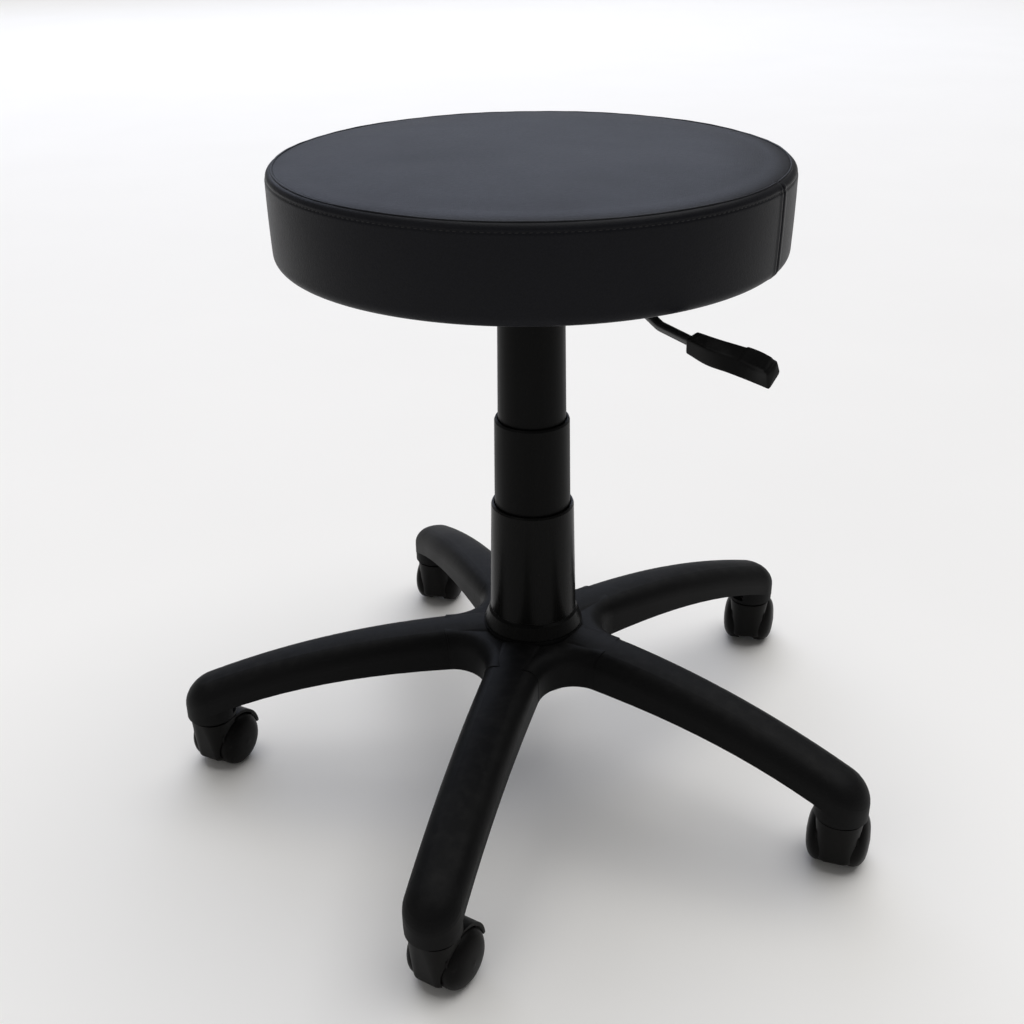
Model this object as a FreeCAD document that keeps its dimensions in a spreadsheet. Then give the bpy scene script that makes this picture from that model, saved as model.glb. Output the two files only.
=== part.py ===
import FreeCAD, Part
import Sketcher
import math
import os
import re
from FreeCAD import Placement, Rotation, Vector

# Adjustable swivel stool. Millimetres, +Z up, the origin on the floor under the column's axis.
# The gas lift is drawn fully raised. Azimuths are counted from +X towards +Y.

os.makedirs("parts", exist_ok=True)
doc = FreeCAD.newDocument("SwivelStool")

SIZES = {
    # seat
    "seat_diameter": 380, "seat_taper": 2, "seat_thickness": 69, "seat_crown": 1.5,
    "seat_top_round": 5, "seat_bottom_round": 8, "vinyl": 1.4, "vinyl_fold": 30,
    "board_thickness": 12, "board_margin": 7, "dust_cover": 0.5, "dust_cover_lap": 16,
    "piping_diameter": 4.6, "staple_count": 24, "staple_azimuth": -5, "staple_width": 10,
    "staple_wire": 0.7, "staple_leg": 7,
    # seat mechanism and its fasteners
    "plate_side": 150, "plate_thickness": 2.5, "bowl_side": 84, "bowl_depth": 27,
    "socket_wall": 5, "bolt_spacing": 122, "bolt_diameter": 6, "bolt_head": 4.2,
    "bolt_across": 10, "nut_barrel": 7.8, "nut_flange": 19, "nut_flange_thickness": 1.5,
    # lever
    "lever_azimuth": -55, "lever_rod": 7, "lever_pivot": 34, "lever_tail": 7,
    "lever_drop": 11.6, "lever_bend_start": 54, "lever_bend_end": 31, "lever_slope": 3.2,
    "handle_length": 70, "handle_overhang": 60.5, "handle_socket": 20, "pivot_pin": 3,
    "pin_end": 1,
    # gas lift
    "lift_stroke": 120, "tube_diameter": 50, "tube_wall": 1.5, "tube_floor": 3,
    "tube_seat": 58, "tube_taper": 1.1, "tube_mouth": 3, "bush_length": 66, "bush_flange": 2,
    "cylinder_diameter": 28, "cylinder_wall": 1.5, "cylinder_dead_length": 101.8,
    "taper_length": 45, "taper_drop": 0.65, "rod_diameter": 10, "seal_length": 20,
    "piston_length": 12, "valve_length": 22, "button_rise": 4.6, "button_diameter": 9,
    "headroom": 20, "race_thickness": 1.5, "ball_diameter": 4, "ball_count": 16,
    "bumper_length": 7, "clip_thickness": 1.6,
    # column covers
    "upper_cover_wall": 0.9, "upper_cover_bottom": 54.6, "upper_cover_top": 51.8,
    "middle_cover_wall": 1.2, "middle_cover_rim": 60.2, "middle_cover_bottom": 62,
    "lower_cover_wall": 1.4, "lower_cover_rim": 67.8, "lower_cover_bottom": 72.2,
    "lower_cover_height": 111.5, "foot_ring": 82.6, "foot_ring_height": 14,
    "cover_reveal": 14, "cover_overlap": 22, "cover_groove": 0.5, "lip_height": 1.8,
    "lip_width": 2.1, "lip_chamfer": 0.8,
    # five-star base
    "arm_count": 5, "arm_azimuth": -32.55, "stem_circle": 283, "hub_height": 141.5,
    "hub_boss": 70, "hub_bottom": 90, "hub_fillet": 30, "hub_dip": 3.3, "hub_shoulder": 12.4,
    "arch_drop": 48.5, "arch_power": 2.2, "arm_depth": 34.7, "edge_drop": 42, "edge_power": 2.8,
    "arm_root_width": 46.5,
    "arm_tip_width": 42.4, "arm_shoulder_root": 13, "arm_shoulder_tip": 17, "arm_crown_slope": 13,
    "arm_wall": 3.6, "rib": 3, "rib_rise": 9, "arm_ribs": 4, "drop_end_rim": 41.8,
    "drop_end_wall": 2.8, "drop_end_window": 15, "socket_boss": 19, "ring_width": 5, "ring_height": 8,
    # casters
    "wheel_diameter": 46.5, "wheel_pair_width": 50, "wheel_tread": 6, "web_width": 14.4,
    "caster_trail": 13.2, "hood_height": 52.4, "hood_wall": 2.6, "hood_gap": 1.3,
    "hood_width": 33, "hood_top_width": 37.4, "hood_toe_width": 26.5, "hood_top_reach": 18,
    "hood_toe_reach": 12, "hood_toe": 11.5, "hood_toe_round": 4.5, "hood_toe_corner": 0.5,
    "hood_top_corner": 0.95, "hood_disc": 37.2,
    "stem_diameter": 11, "stem_insert": 22, "stem_in_hood": 20, "stem_collar": 3,
    "stem_collar_diameter": 17, "stem_groove": 2.4, "groove_from_end": 8, "axle_diameter": 6,
    "axle_end": 6, "yaw_front_right": 72, "yaw_back_right": 76, "yaw_back_left": 77,
    "yaw_left": 64, "yaw_front": 59,
    # clearances
    "running": 0.05, "loose": 0.3, "free": 0.8,
}
CASTERS = ("front_right", "back_right", "back_left", "left", "front")

sheet = doc.addObject("Spreadsheet::Sheet", "Sizes")
for row, (alias, number) in enumerate(SIZES.items(), start=1):
    sheet.set("A%d" % row, alias)
    sheet.set("B%d" % row, str(number))
    sheet.setAlias("B%d" % row, alias)
doc.recompute()


def bound(formula):
    """Write a formula in size names as an expression that reads the sheet."""
    return re.sub(r"[a-z][a-z_]+", lambda word: "Sizes." + word.group(0), formula)


def size(formula):
    """The number that a formula in size names comes to."""
    return float(sheet.evalExpression(bound(formula)))


# Heights up the column, as formulas in the sheet's names
DROP_END = "(hood_height + stem_collar)"
TUBE_BOTTOM = "(hub_height - tube_seat)"
LOWER_RACE = "(%s + tube_floor)" % TUBE_BOTTOM
BALLS = "(%s + race_thickness)" % LOWER_RACE
UPPER_RACE = "(%s + ball_diameter + running)" % BALLS
BUMPER = "(%s + race_thickness)" % UPPER_RACE
CYLINDER_LOWEST = "(%s + bumper_length + loose)" % BUMPER
CYLINDER_LENGTH = "(lift_stroke + cylinder_dead_length)"
CYLINDER_BOTTOM = "(%s + lift_stroke)" % CYLINDER_LOWEST
CYLINDER_TOP = "(%s + %s)" % (CYLINDER_BOTTOM, CYLINDER_LENGTH)
SOCKET_BOTTOM = "(%s - taper_length)" % CYLINDER_TOP
TUBE_TOP = "(%s + %s - taper_length - bush_flange - 3 * free)" % (CYLINDER_LOWEST, CYLINDER_LENGTH)
LEVER_AXIS = "(%s + button_rise + lever_rod / 2 + loose)" % CYLINDER_TOP
SEAT_BOTTOM = "(%s + headroom + dust_cover)" % CYLINDER_TOP
SEAT_TOP = "(%s + seat_thickness)" % SEAT_BOTTOM
PLATE_TOP = "(%s - dust_cover)" % SEAT_BOTTOM
BOWL_BOTTOM = "(%s - bowl_depth)" % PLATE_TOP
LOWER_RIM = "(hub_height + lower_cover_height)"
MIDDLE_RIM = "(%s + lift_stroke / 2 + cover_reveal)" % LOWER_RIM
MIDDLE_BOTTOM = "(%s - cover_overlap)" % LOWER_RIM
UPPER_BOTTOM = "(%s - cover_overlap)" % MIDDLE_RIM
UPPER_TOP = "(%s - free)" % BOWL_BOTTOM
SEAT_RADIUS = "(seat_diameter / 2)"
BOARD_RADIUS = "(%s - seat_taper - board_margin)" % SEAT_RADIUS
BOARD_BOTTOM = "(%s + vinyl)" % SEAT_BOTTOM
BOARD_TOP = "(%s + board_thickness)" % BOARD_BOTTOM
PIPING_REACH = "(%s - 0.62 * seat_top_round)" % SEAT_RADIUS
PIPING_HEIGHT = "(%s - seat_crown - 0.44 * seat_top_round)" % SEAT_TOP
STEM_FOOT = "(hood_height - stem_in_hood)"


def sketch_polygon(body, plane, corners):
    """A closed sketch of straight lines, with each corner bound to its two formulas."""
    sketch = body.newObject("Sketcher::SketchObject", body.Label + "_profile")
    origin = [item for item in body.Origin.OriginFeatures if item.Role == plane][0]
    sketch.AttachmentSupport = [(origin, "")]
    sketch.MapMode = "FlatFace"
    points = [Vector(size(across), size(up), 0) for across, up in corners]
    for index, point in enumerate(points):
        following = points[(index + 1) % len(points)]
        sketch.addGeometry(Part.LineSegment(point, following), False)
    for index, (across, up) in enumerate(corners):
        before = (index - 1) % len(corners)
        sketch.addConstraint(Sketcher.Constraint("Coincident", before, 2, index, 1))
        for kind, formula in (("DistanceX", across), ("DistanceY", up)):
            number = size(formula)
            place = sketch.addConstraint(Sketcher.Constraint(kind, -1, 1, index, 1, number))
            sketch.setExpression("Constraints[%d]" % place, bound(formula))
    return sketch


def turned(label, corners, x=0.0, y=0.0, azimuth=0.0):
    """A body of revolution about its own upright axis, from a radius and height profile."""
    body = doc.addObject("PartDesign::Body", label)
    body.Label = label
    sketch = sketch_polygon(body, "XZ_Plane", corners)
    turn = body.newObject("PartDesign::Revolution", label + "_turn")
    turn.Profile = sketch
    turn.ReferenceAxis = (sketch, ["V_Axis"])
    turn.Angle = 360
    body.Placement = Placement(Vector(x, y, 0), Rotation(Vector(0, 0, 1), azimuth))
    doc.recompute()
    return body


def feature(label, shape, placement=None):
    """A sub-part whose shape is worked out here from the sheet's sizes."""
    item = doc.addObject("Part::Feature", label)
    item.Label = label
    item.Shape = shape
    if placement is not None:
        item.Placement = placement
    return item


def polar(count, start=0.0):
    """The azimuths, in degrees, of things spread evenly round a circle."""
    return [start + 360.0 * step / count for step in range(int(count))]


def turned_z(shape, azimuth):
    """A copy of a shape turned about the column's axis."""
    copy = shape.copy()
    copy.rotate(Vector(0, 0, 0), Vector(0, 0, 1), azimuth)
    return copy


def prism(points, direction):
    """A straight-sided solid pushed from a closed outline along a direction."""
    return Part.Face(Part.makePolygon(points + points[:1])).extrude(direction)


# ---- Part primitives and booleans, bound to the sheet ----------------------------------------

def bind(item, formulas):
    """Tie an object's properties to formulas in the sheet's names."""
    for name, formula in formulas.items():
        item.setExpression(name, bound(formula))
    return item


def cylinder(name, radius, height, x="0", y="0", z="0"):
    """An upright cylinder standing on z."""
    item = doc.addObject("Part::Cylinder", name)
    return bind(item, {"Radius": radius, "Height": height, "Placement.Base.x": x,
                       "Placement.Base.y": y, "Placement.Base.z": z})


def cone(name, low, high, height, z="0"):
    """A cone on the column's axis, by its lower and upper radius."""
    item = doc.addObject("Part::Cone", name)
    return bind(item, {"Radius1": low, "Radius2": high, "Height": height, "Placement.Base.z": z})


def box(name, length, width, height, x="0", y="0", z="0"):
    """A block centred on x and y, standing on z."""
    item = doc.addObject("Part::Box", name)
    return bind(item, {"Length": length, "Width": width, "Height": height,
                       "Placement.Base.x": "%s - (%s) / 2" % (x, length),
                       "Placement.Base.y": "%s - (%s) / 2" % (y, width),
                       "Placement.Base.z": z})


def fused(name, pieces):
    """Several pieces made one."""
    item = doc.addObject("Part::MultiFuse", name)
    item.Shapes = pieces
    return item


def cut(name, base, tool):
    """A piece with a tool's space taken out of it."""
    item = doc.addObject("Part::Cut", name)
    item.Base = base
    item.Tool = tool
    return item


def about_column(item, azimuth):
    """Turn a finished sub-part about the column's axis."""
    item.Placement = Placement(Vector(0, 0, 0), Rotation(Vector(0, 0, 1), azimuth))
    return item


# ---- Five-star base: one nylon moulding, hollow underneath -----------------------------------

def arm_top(reach):
    """The arm's ridge starts level at the hub and falls ever faster towards the tip."""
    return size("hub_height") - size("arch_drop") * (reach / size("stem_circle")) ** size("arch_power")


def arm_edge(reach):
    """The side walls' lower edge stays level near the hub and falls towards the tip."""
    fall = size("edge_drop") * (reach / size("stem_circle")) ** size("edge_power")
    return size("hub_height - arm_depth") - fall


def arm_half_width(reach):
    """Half the arm's width, which narrows evenly towards the tip."""
    share = reach / size("stem_circle")
    return (size("arm_root_width") * (1 - share) + size("arm_tip_width") * share) / 2


def arm_arch(reach, inset, whole=True):
    """The arch across the arm: upright sides, round shoulders and a crowned top, each tangent to the next.

    The half arch that isn't whole is closed down the middle, ready to be turned about the socket."""
    share = reach / size("stem_circle")
    half = arm_half_width(reach) - inset
    shoulder = size("arm_shoulder_root") * (1 - share) + size("arm_shoulder_tip") * share - inset
    slope = math.radians(size("arm_crown_slope"))
    low = size("hood_height - 2 * stem_collar")
    top = arm_top(reach) - inset
    flat = half - shoulder * (1 - math.sin(slope))
    crown = flat * math.tan(slope / 2)
    crown_radius = flat / math.sin(slope)
    centre = top - crown - shoulder * math.cos(slope)
    bend = math.pi / 4 - slope / 2
    foot = Vector(reach, half, low)
    side_top = Vector(reach, half, centre)
    shoulder_mid = Vector(reach, half - shoulder * (1 - math.cos(bend)), centre + shoulder * math.sin(bend))
    crown_edge = Vector(reach, flat, top - crown)
    ridge = Vector(reach, 0, top)
    edges = [Part.makeLine(foot, side_top), Part.Arc(side_top, shoulder_mid, crown_edge).toShape()]
    if whole:
        def mirror(point):
            return Vector(point.x, -point.y, point.z)
        edges += [Part.Arc(crown_edge, ridge, mirror(crown_edge)).toShape(),
                  Part.Arc(mirror(crown_edge), mirror(shoulder_mid), mirror(side_top)).toShape(),
                  Part.makeLine(mirror(side_top), mirror(foot)), Part.makeLine(mirror(foot), foot)]
    else:
        middle = Vector(reach, 0, low)
        crown_mid = Vector(reach, crown_radius * math.sin(slope / 2),
                           top - crown_radius * (1 - math.cos(slope / 2)))
        edges += [Part.Arc(crown_edge, crown_mid, ridge).toShape(), Part.makeLine(ridge, middle),
                  Part.makeLine(middle, foot)]
    return Part.Wire(edges)


def arm_form(inset, start):
    """The arm as a solid along +X: a loft of arches, closed by half a turn at the caster socket.

    The closing half turn is sheared downwards, so that its top goes on falling as the ridge does."""
    tip = size("stem_circle")
    spans = 6
    stations = [start + (tip - start) * step / spans for step in range(spans + 1)]
    body = Part.makeLoft([arm_arch(reach, inset) for reach in stations], True, False)
    end = Part.Face(arm_arch(tip, inset, whole=False))
    end = end.revolve(Vector(tip, 0, 0), Vector(0, 0, 1), -180)
    fall = size("arch_drop * arch_power") / tip
    shear = FreeCAD.Matrix()
    shear.A31 = -fall
    shear.A34 = fall * tip
    end = end.transformGeometry(shear)
    return body.fuse(end).removeSplitter()


def below_edge():
    """Everything under the curve that the side walls' lower edges follow."""
    tip = size("stem_circle + arm_tip_width")
    width = size("2 * arm_root_width")
    spans = 6
    reaches = [tip * step / spans for step in range(spans + 1)]
    curve = Part.BSplineCurve()
    curve.interpolate([Vector(reach, -width / 2, arm_edge(reach)) for reach in reaches])
    first = Vector(0, -width / 2, 0)
    last = Vector(tip, -width / 2, 0)
    outline = [curve.toShape(), Part.makeLine(curve.EndPoint, last), Part.makeLine(last, first),
               Part.makeLine(first, curve.StartPoint)]
    return Part.Face(Part.Wire(outline)).extrude(Vector(0, width, 0))


def drop_end(limit):
    """The upright tube at the arm's tip, with the ribbed socket for the caster's stem."""
    tip = size("stem_circle")
    low = size(DROP_END)
    rim = size("drop_end_rim / 2")
    wall = size("drop_end_wall")
    rise = arm_top(tip) - low
    rib = size("rib")
    span = 2 * rim - wall
    foot = low + size("stem_collar")
    tube = Part.makeCylinder(rim, rise, Vector(tip, 0, low))
    tube = tube.cut(Part.makeCylinder(rim - wall, rise, Vector(tip, 0, low)))
    boss = Part.makeCylinder(size("socket_boss / 2"), rise, Vector(tip, 0, low))
    ribs = [Part.makeBox(span, rib, rise, Vector(tip - span / 2, -rib / 2, foot)),
            Part.makeBox(rib, span, rise, Vector(tip - rib / 2, -span / 2, foot))]
    whole = tube.multiFuse([boss] + ribs).common(limit)
    window = size("drop_end_window / 2")
    sill = foot + window
    opening = Part.makeCylinder(window, rim, Vector(tip - 1.5 * rim, 0, sill), Vector(1, 0, 0))
    opening = opening.fuse(Part.makeBox(rim, 2 * window, window, Vector(tip - 1.5 * rim, -window, foot)))
    whole = whole.cut(opening)
    depth = size("stem_insert + free")
    return whole.cut(Part.makeCylinder(size("stem_diameter / 2 + running"), depth, Vector(tip, 0, low)))


def arm_ribs(limit):
    """A rib along the arm and cross ribs that stiffen the channel, clear of the lower edge."""
    start = size("hub_boss / 2 - arm_wall / 2")
    finish = size("stem_circle - drop_end_rim / 2 + drop_end_wall / 2")
    rib = size("rib")
    height = size("hub_height")
    width = size("arm_root_width")
    count = int(size("arm_ribs"))
    ribs = [Part.makeBox(finish - start, rib, height, Vector(start, -rib / 2, 0))]
    for step in range(1, count + 1):
        reach = start + (finish - start) * step / (count + 1)
        ribs.append(Part.makeBox(rib, width, height, Vector(reach, -width / 2, 0)))
    raised = below_edge()
    raised.translate(Vector(0, 0, size("rib_rise")))
    return ribs[0].multiFuse(ribs[1:]).common(limit).cut(raised)


def hub_web(inset):
    """The web between the arms: a disc with a concave fillet, rounded over at the top, in each gap.

    The fillet's centre lies on the line midway between two arms, where its circle touches both."""
    half_gap = math.radians(180.0 / size("arm_count"))
    fillet = size("hub_fillet")
    shoulder = size("hub_shoulder")
    half = size("arm_root_width / 2 - loose")
    away = (half + fillet) / math.sin(half_gap)
    along = (half + fillet) / math.tan(half_gap)
    top = size("hub_height - hub_dip")
    low = 0 if inset else arm_edge(away - fillet)
    disc = Part.makeCylinder(math.hypot(along, half - inset), top - inset - low, Vector(0, 0, low))
    wide = fillet + shoulder
    bend = (shoulder - inset) * math.sqrt(0.5)
    centre = top - shoulder
    edges = [Part.makeLine(Vector(0, 0, -1), Vector(fillet + inset, 0, -1)),
             Part.makeLine(Vector(fillet + inset, 0, -1), Vector(fillet + inset, 0, centre)),
             Part.Arc(Vector(fillet + inset, 0, centre), Vector(wide - bend, 0, centre + bend),
                      Vector(wide, 0, top - inset)).toShape(),
             Part.makeLine(Vector(wide, 0, top - inset), Vector(0, 0, top - inset)),
             Part.makeLine(Vector(0, 0, top - inset), Vector(0, 0, -1))]
    gap = Part.Face(Part.Wire(edges)).revolve(Vector(0, 0, 0), Vector(0, 0, 1), 360)
    gap.translate(Vector(away, 0, 0))
    middle = size("arm_azimuth + 180 / arm_count")
    gaps = [turned_z(gap, azimuth) for azimuth in polar(size("arm_count"), middle)]
    return disc.cut(gaps[0].multiFuse(gaps[1:]))


def five_star_base():
    """Five arms, the web between them and the boss, hollowed from below and ribbed."""
    root = size("hub_boss / 2 - arm_wall")
    outer = arm_form(0, root)
    hollow = arm_form(size("arm_wall"), root)
    azimuths = polar(size("arm_count"), size("arm_azimuth"))
    trimmed = outer.cut(below_edge())
    stiffening = arm_ribs(hollow).fuse(drop_end(outer))
    star = hub_web(0).multiFuse([turned_z(trimmed, azimuth) for azimuth in azimuths])
    star = star.cut(hub_web(size("arm_wall")))
    star = star.cut([turned_z(hollow, azimuth) for azimuth in azimuths])
    low = size("hub_bottom")
    top = size("hub_height")
    boss = Part.makeCylinder(size("hub_boss / 2"), top - low, Vector(0, 0, low))
    landing = Part.makeCylinder(size("foot_ring / 2 + free"), size("arm_wall"),
                                Vector(0, 0, top - size("arm_wall")))
    star = star.multiFuse([boss, landing] + [turned_z(stiffening, azimuth) for azimuth in azimuths])
    seat = size(TUBE_BOTTOM)
    radius = size("tube_diameter / 2 + running")
    straight = size("tube_mouth")
    narrow = radius - size("tube_taper")
    bore = Part.makeCone(narrow, radius, top - straight - seat, Vector(0, 0, seat))
    bore = bore.fuse(Part.makeCylinder(radius, 2 * straight, Vector(0, 0, top - straight)))
    return feature("five_star_base", star.cut(bore))


def hub_ring():
    """A steel ring shrunk round the boss, which stops the nylon from splitting."""
    inner = "hub_boss / 2"
    outer = "hub_boss / 2 + ring_width"
    return turned("hub_ring", [(inner, "hub_bottom"), (outer, "hub_bottom"),
                               (outer, "hub_bottom + ring_height"), (inner, "hub_bottom + ring_height")])


# ---- Gas lift ---------------------------------------------------------------------------------

def stand_tube():
    """Steel tube with a tapered foot and a floor that carries the thrust bearing."""
    full = "tube_diameter / 2"
    return turned("stand_tube", [
        ("rod_diameter / 2 + running + free", TUBE_BOTTOM), (full + " - tube_taper", TUBE_BOTTOM),
        (full, "hub_height - tube_mouth"), (full, TUBE_TOP), (full + " - tube_wall", TUBE_TOP),
        (full + " - tube_wall", "hub_height - tube_mouth"),
        (full + " - tube_wall - tube_taper", LOWER_RACE),
        ("rod_diameter / 2 + running + free", LOWER_RACE)])


def guide_bush():
    """Acetal bush that the pressure cylinder slides and turns in."""
    bore = "cylinder_diameter / 2 + running"
    skin = "tube_diameter / 2 - tube_wall"
    return turned("guide_bush", [
        (bore, TUBE_TOP + " - bush_length"), (skin, TUBE_TOP + " - bush_length"), (skin, TUBE_TOP),
        ("tube_diameter / 2", TUBE_TOP), ("tube_diameter / 2", TUBE_TOP + " + bush_flange"),
        (bore, TUBE_TOP + " + bush_flange")])


def washer(label, inner, outer, low, high):
    """A plain ring between two radii and two heights."""
    return turned(label, [(inner, low), (outer, low), (outer, high), (inner, high)])


def thrust_bearing():
    inner = "rod_diameter / 2 + running"
    outer = "tube_diameter / 2 - tube_wall - tube_taper - free"
    washer("bearing_lower_race", inner + " + free", outer, LOWER_RACE, BALLS)
    washer("bearing_upper_race", inner, outer + " - free", UPPER_RACE, BUMPER)
    pitch = size("(rod_diameter + tube_diameter) / 4 - free / 2")
    ball = size("ball_diameter / 2")
    height = size(BALLS) + ball
    balls = []
    pockets = []
    for azimuth in polar(size("ball_count")):
        angle = math.radians(azimuth)
        centre = Vector(pitch * math.cos(angle), pitch * math.sin(angle), height)
        balls.append(Part.makeSphere(ball, centre))
        pockets.append(Part.makeSphere(ball + size("running"), centre))
    feature("bearing_balls", Part.makeCompound(balls))
    reach = 1.4 * ball
    ring = Part.makeCylinder(pitch + reach, ball, Vector(0, 0, height - ball / 2))
    ring = ring.cut(Part.makeCylinder(pitch - reach, 3 * ball, Vector(0, 0, height - ball)))
    feature("bearing_cage", ring.cut(Part.makeCompound(pockets)))


def piston_rod():
    """The rod stands on the thrust bearing and carries the piston inside the cylinder."""
    radius = "rod_diameter / 2"
    neck = "rod_diameter / 2 - 1.2"
    low = TUBE_BOTTOM + " - 3 * clip_thickness"
    clip = TUBE_BOTTOM + " - free / 2"
    neck_top = CYLINDER_BOTTOM + " + seal_length + 2 + piston_length"
    return turned("piston_rod", [
        ("0", low), (radius, low), (radius, clip + " - clip_thickness"), (neck, clip + " - clip_thickness"),
        (neck, clip), (radius, clip), (radius, neck_top), ("0", neck_top)])


def rod_fittings():
    """Retaining clip under the tube, rubber bumper over the bearing and the gas piston."""
    clip = TUBE_BOTTOM + " - free / 2"
    washer("retaining_clip", "rod_diameter / 2 - 1.2", "rod_diameter / 2 + 4",
           clip + " - clip_thickness", clip)
    washer("bumper", "rod_diameter / 2", "rod_diameter / 2 + 5", BUMPER, BUMPER + " + bumper_length")
    low = CYLINDER_BOTTOM + " + seal_length + 2"
    washer("gas_piston", "rod_diameter / 2", "cylinder_diameter / 2 - cylinder_wall - running",
           low, low + " + piston_length")


def pressure_cylinder():
    """Steel cylinder that slides in the bush; its taper wedges into the seat plate's socket."""
    full = "cylinder_diameter / 2"
    inner = full + " - cylinder_wall"
    return turned("pressure_cylinder", [
        (inner, CYLINDER_BOTTOM), (full, CYLINDER_BOTTOM), (full, SOCKET_BOTTOM),
        (full + " - taper_drop", CYLINDER_TOP), (inner + " - taper_drop", CYLINDER_TOP),
        (inner + " - taper_drop", CYLINDER_TOP + " - valve_length"),
        (inner, CYLINDER_TOP + " - valve_length - 3")])


def cylinder_fittings():
    """Seal at the foot, valve block at the top and the button that the lever presses."""
    inner = "cylinder_diameter / 2 - cylinder_wall"
    washer("rod_seal", "rod_diameter / 2 + running", inner, CYLINDER_BOTTOM,
           CYLINDER_BOTTOM + " + seal_length")
    stalk = "button_diameter / 4"
    washer("valve_block", stalk + " + running", inner + " - taper_drop",
           CYLINDER_TOP + " - valve_length", CYLINDER_TOP)
    top = CYLINDER_TOP + " + button_rise"
    head = top + " - 1.2"
    turned("valve_button", [("0", CYLINDER_TOP + " - valve_length"),
                            (stalk, CYLINDER_TOP + " - valve_length"),
                            (stalk, head), ("button_diameter / 2", head), ("button_diameter / 2", top),
                            ("0", top)])


# ---- Telescoping column covers -----------------------------------------------------------------

def rim_lip(rim, wall, top):
    """Corners of a cover's rim: a chamfered lip that is thicker than the wall under it."""
    return [(rim, top + " - lip_height"), (rim + " - lip_chamfer", top), (rim + " - lip_width", top),
            (rim + " - lip_width", top + " - lip_height"),
            (rim + wall, top + " - lip_height - lip_chamfer")]


def column_covers():
    """Three plastic tubes that hide the gas lift at every height."""
    foot = "foot_ring / 2"
    low = "lower_cover_bottom / 2"
    wall = " - lower_cover_wall"
    base = "hub_height"
    ring = "hub_height + foot_ring_height"
    lip = rim_lip("lower_cover_rim / 2", wall, LOWER_RIM)
    turned("lower_cover", [
        (foot + wall, base), (foot, base), (foot, base + " + lower_cover_wall"),
        (low + " + lower_cover_wall", ring + " - 2 * lower_cover_wall"),
        (low + " - cover_groove", ring + " - 2 * cover_groove"), (low + " - cover_groove", ring),
        (low, ring + " + cover_groove")] + lip + [
        (low + wall, ring + " - 2 * cover_groove"), (foot + wall, base + " + lower_cover_wall")])
    low = "middle_cover_bottom / 2"
    wall = " - middle_cover_wall"
    lip = rim_lip("middle_cover_rim / 2", wall, MIDDLE_RIM)
    turned("middle_cover", [(low + wall, MIDDLE_BOTTOM), (low, MIDDLE_BOTTOM), (low, LOWER_RIM)]
           + lip + [(low + wall, LOWER_RIM)])
    low = "upper_cover_bottom / 2"
    top = "upper_cover_top / 2"
    wall = " - upper_cover_wall"
    neck = "cylinder_diameter / 2 + socket_wall + loose"
    under = UPPER_TOP + " - 2 * upper_cover_wall"
    turned("upper_cover", [
        (low + wall, UPPER_BOTTOM), (low, UPPER_BOTTOM), (low, MIDDLE_RIM), (top, UPPER_TOP),
        (neck, UPPER_TOP), (neck, under), (top + wall, under), (low + wall, MIDDLE_RIM)])


# ---- Seat mechanism and lever ------------------------------------------------------------------

def seat_plate():
    """Pressed steel plate with a bowl, and the taper socket welded through the bowl's floor."""
    bowl = "bowl_side"
    thick = "plate_thickness"
    plate = box("plate_flat", "plate_side", "plate_side", thick, z=PLATE_TOP + " - plate_thickness")
    shell = box("bowl_outside", bowl, bowl, "bowl_depth", z=BOWL_BOTTOM)
    socket = cylinder("socket_outside", "cylinder_diameter / 2 + socket_wall", "taper_length + free",
                      z=SOCKET_BOTTOM)
    inside = box("bowl_inside", bowl + " - 2 * plate_thickness", bowl + " - 2 * plate_thickness",
                 "bowl_depth", z=BOWL_BOTTOM + " + plate_thickness")
    opened = cut("plate_opened", fused("plate_pressed", [plate, shell]), inside)
    welded = fused("plate_welded", [opened, socket])
    full = "cylinder_diameter / 2"
    bore = cone("socket_bore", full + " + running", full + " - taper_drop + running", "taper_length",
                z=SOCKET_BOTTOM)
    mouth = cylinder("socket_mouth", full + " - taper_drop + running", "bowl_depth", z=CYLINDER_TOP)
    slot = box("lever_slot", "bowl_side / 2", "lever_rod + 4", "lever_rod + 7", x="bowl_side / 2",
               z=LEVER_AXIS + " - lever_rod / 2 - 3")
    holes = [cylinder("bolt_hole", "bolt_diameter / 2 + loose", "3 * plate_thickness",
                      x="%d * bolt_spacing / 2" % along, y="%d * bolt_spacing / 2" % across,
                      z=PLATE_TOP + " - 2 * plate_thickness")
             for along in (-1, 1) for across in (-1, 1)]
    item = cut("seat_plate", welded, fused("plate_cuts", [bore, mouth, slot] + holes))
    item.Label = "seat_plate"
    return about_column(item, size("lever_azimuth"))


def lever_bracket():
    """Folded steel fork in the bowl that holds the lever's pivot pin."""
    gap = "lever_rod + 2 * free"
    outside = box("fork_outside", "2.4 * lever_rod / 2", gap + " + 2 * plate_thickness",
                  LEVER_AXIS + " + lever_rod / 2 - " + BOWL_BOTTOM + " - plate_thickness",
                  x="lever_pivot", z=BOWL_BOTTOM + " + plate_thickness")
    inside = box("fork_inside", "3 * lever_rod", gap, "bowl_depth", x="lever_pivot",
                 z=BOWL_BOTTOM + " + 2 * plate_thickness")
    hole = cylinder("fork_hole", "pivot_pin / 2 + running", "4 * lever_rod", x="lever_pivot",
                    y="2 * lever_rod", z=LEVER_AXIS)
    hole.Placement.Rotation = Rotation(Vector(1, 0, 0), 90)
    item = cut("lever_bracket", outside, fused("fork_cuts", [inside, hole]))
    item.Label = "lever_bracket"
    return about_column(item, size("lever_azimuth"))


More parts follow.
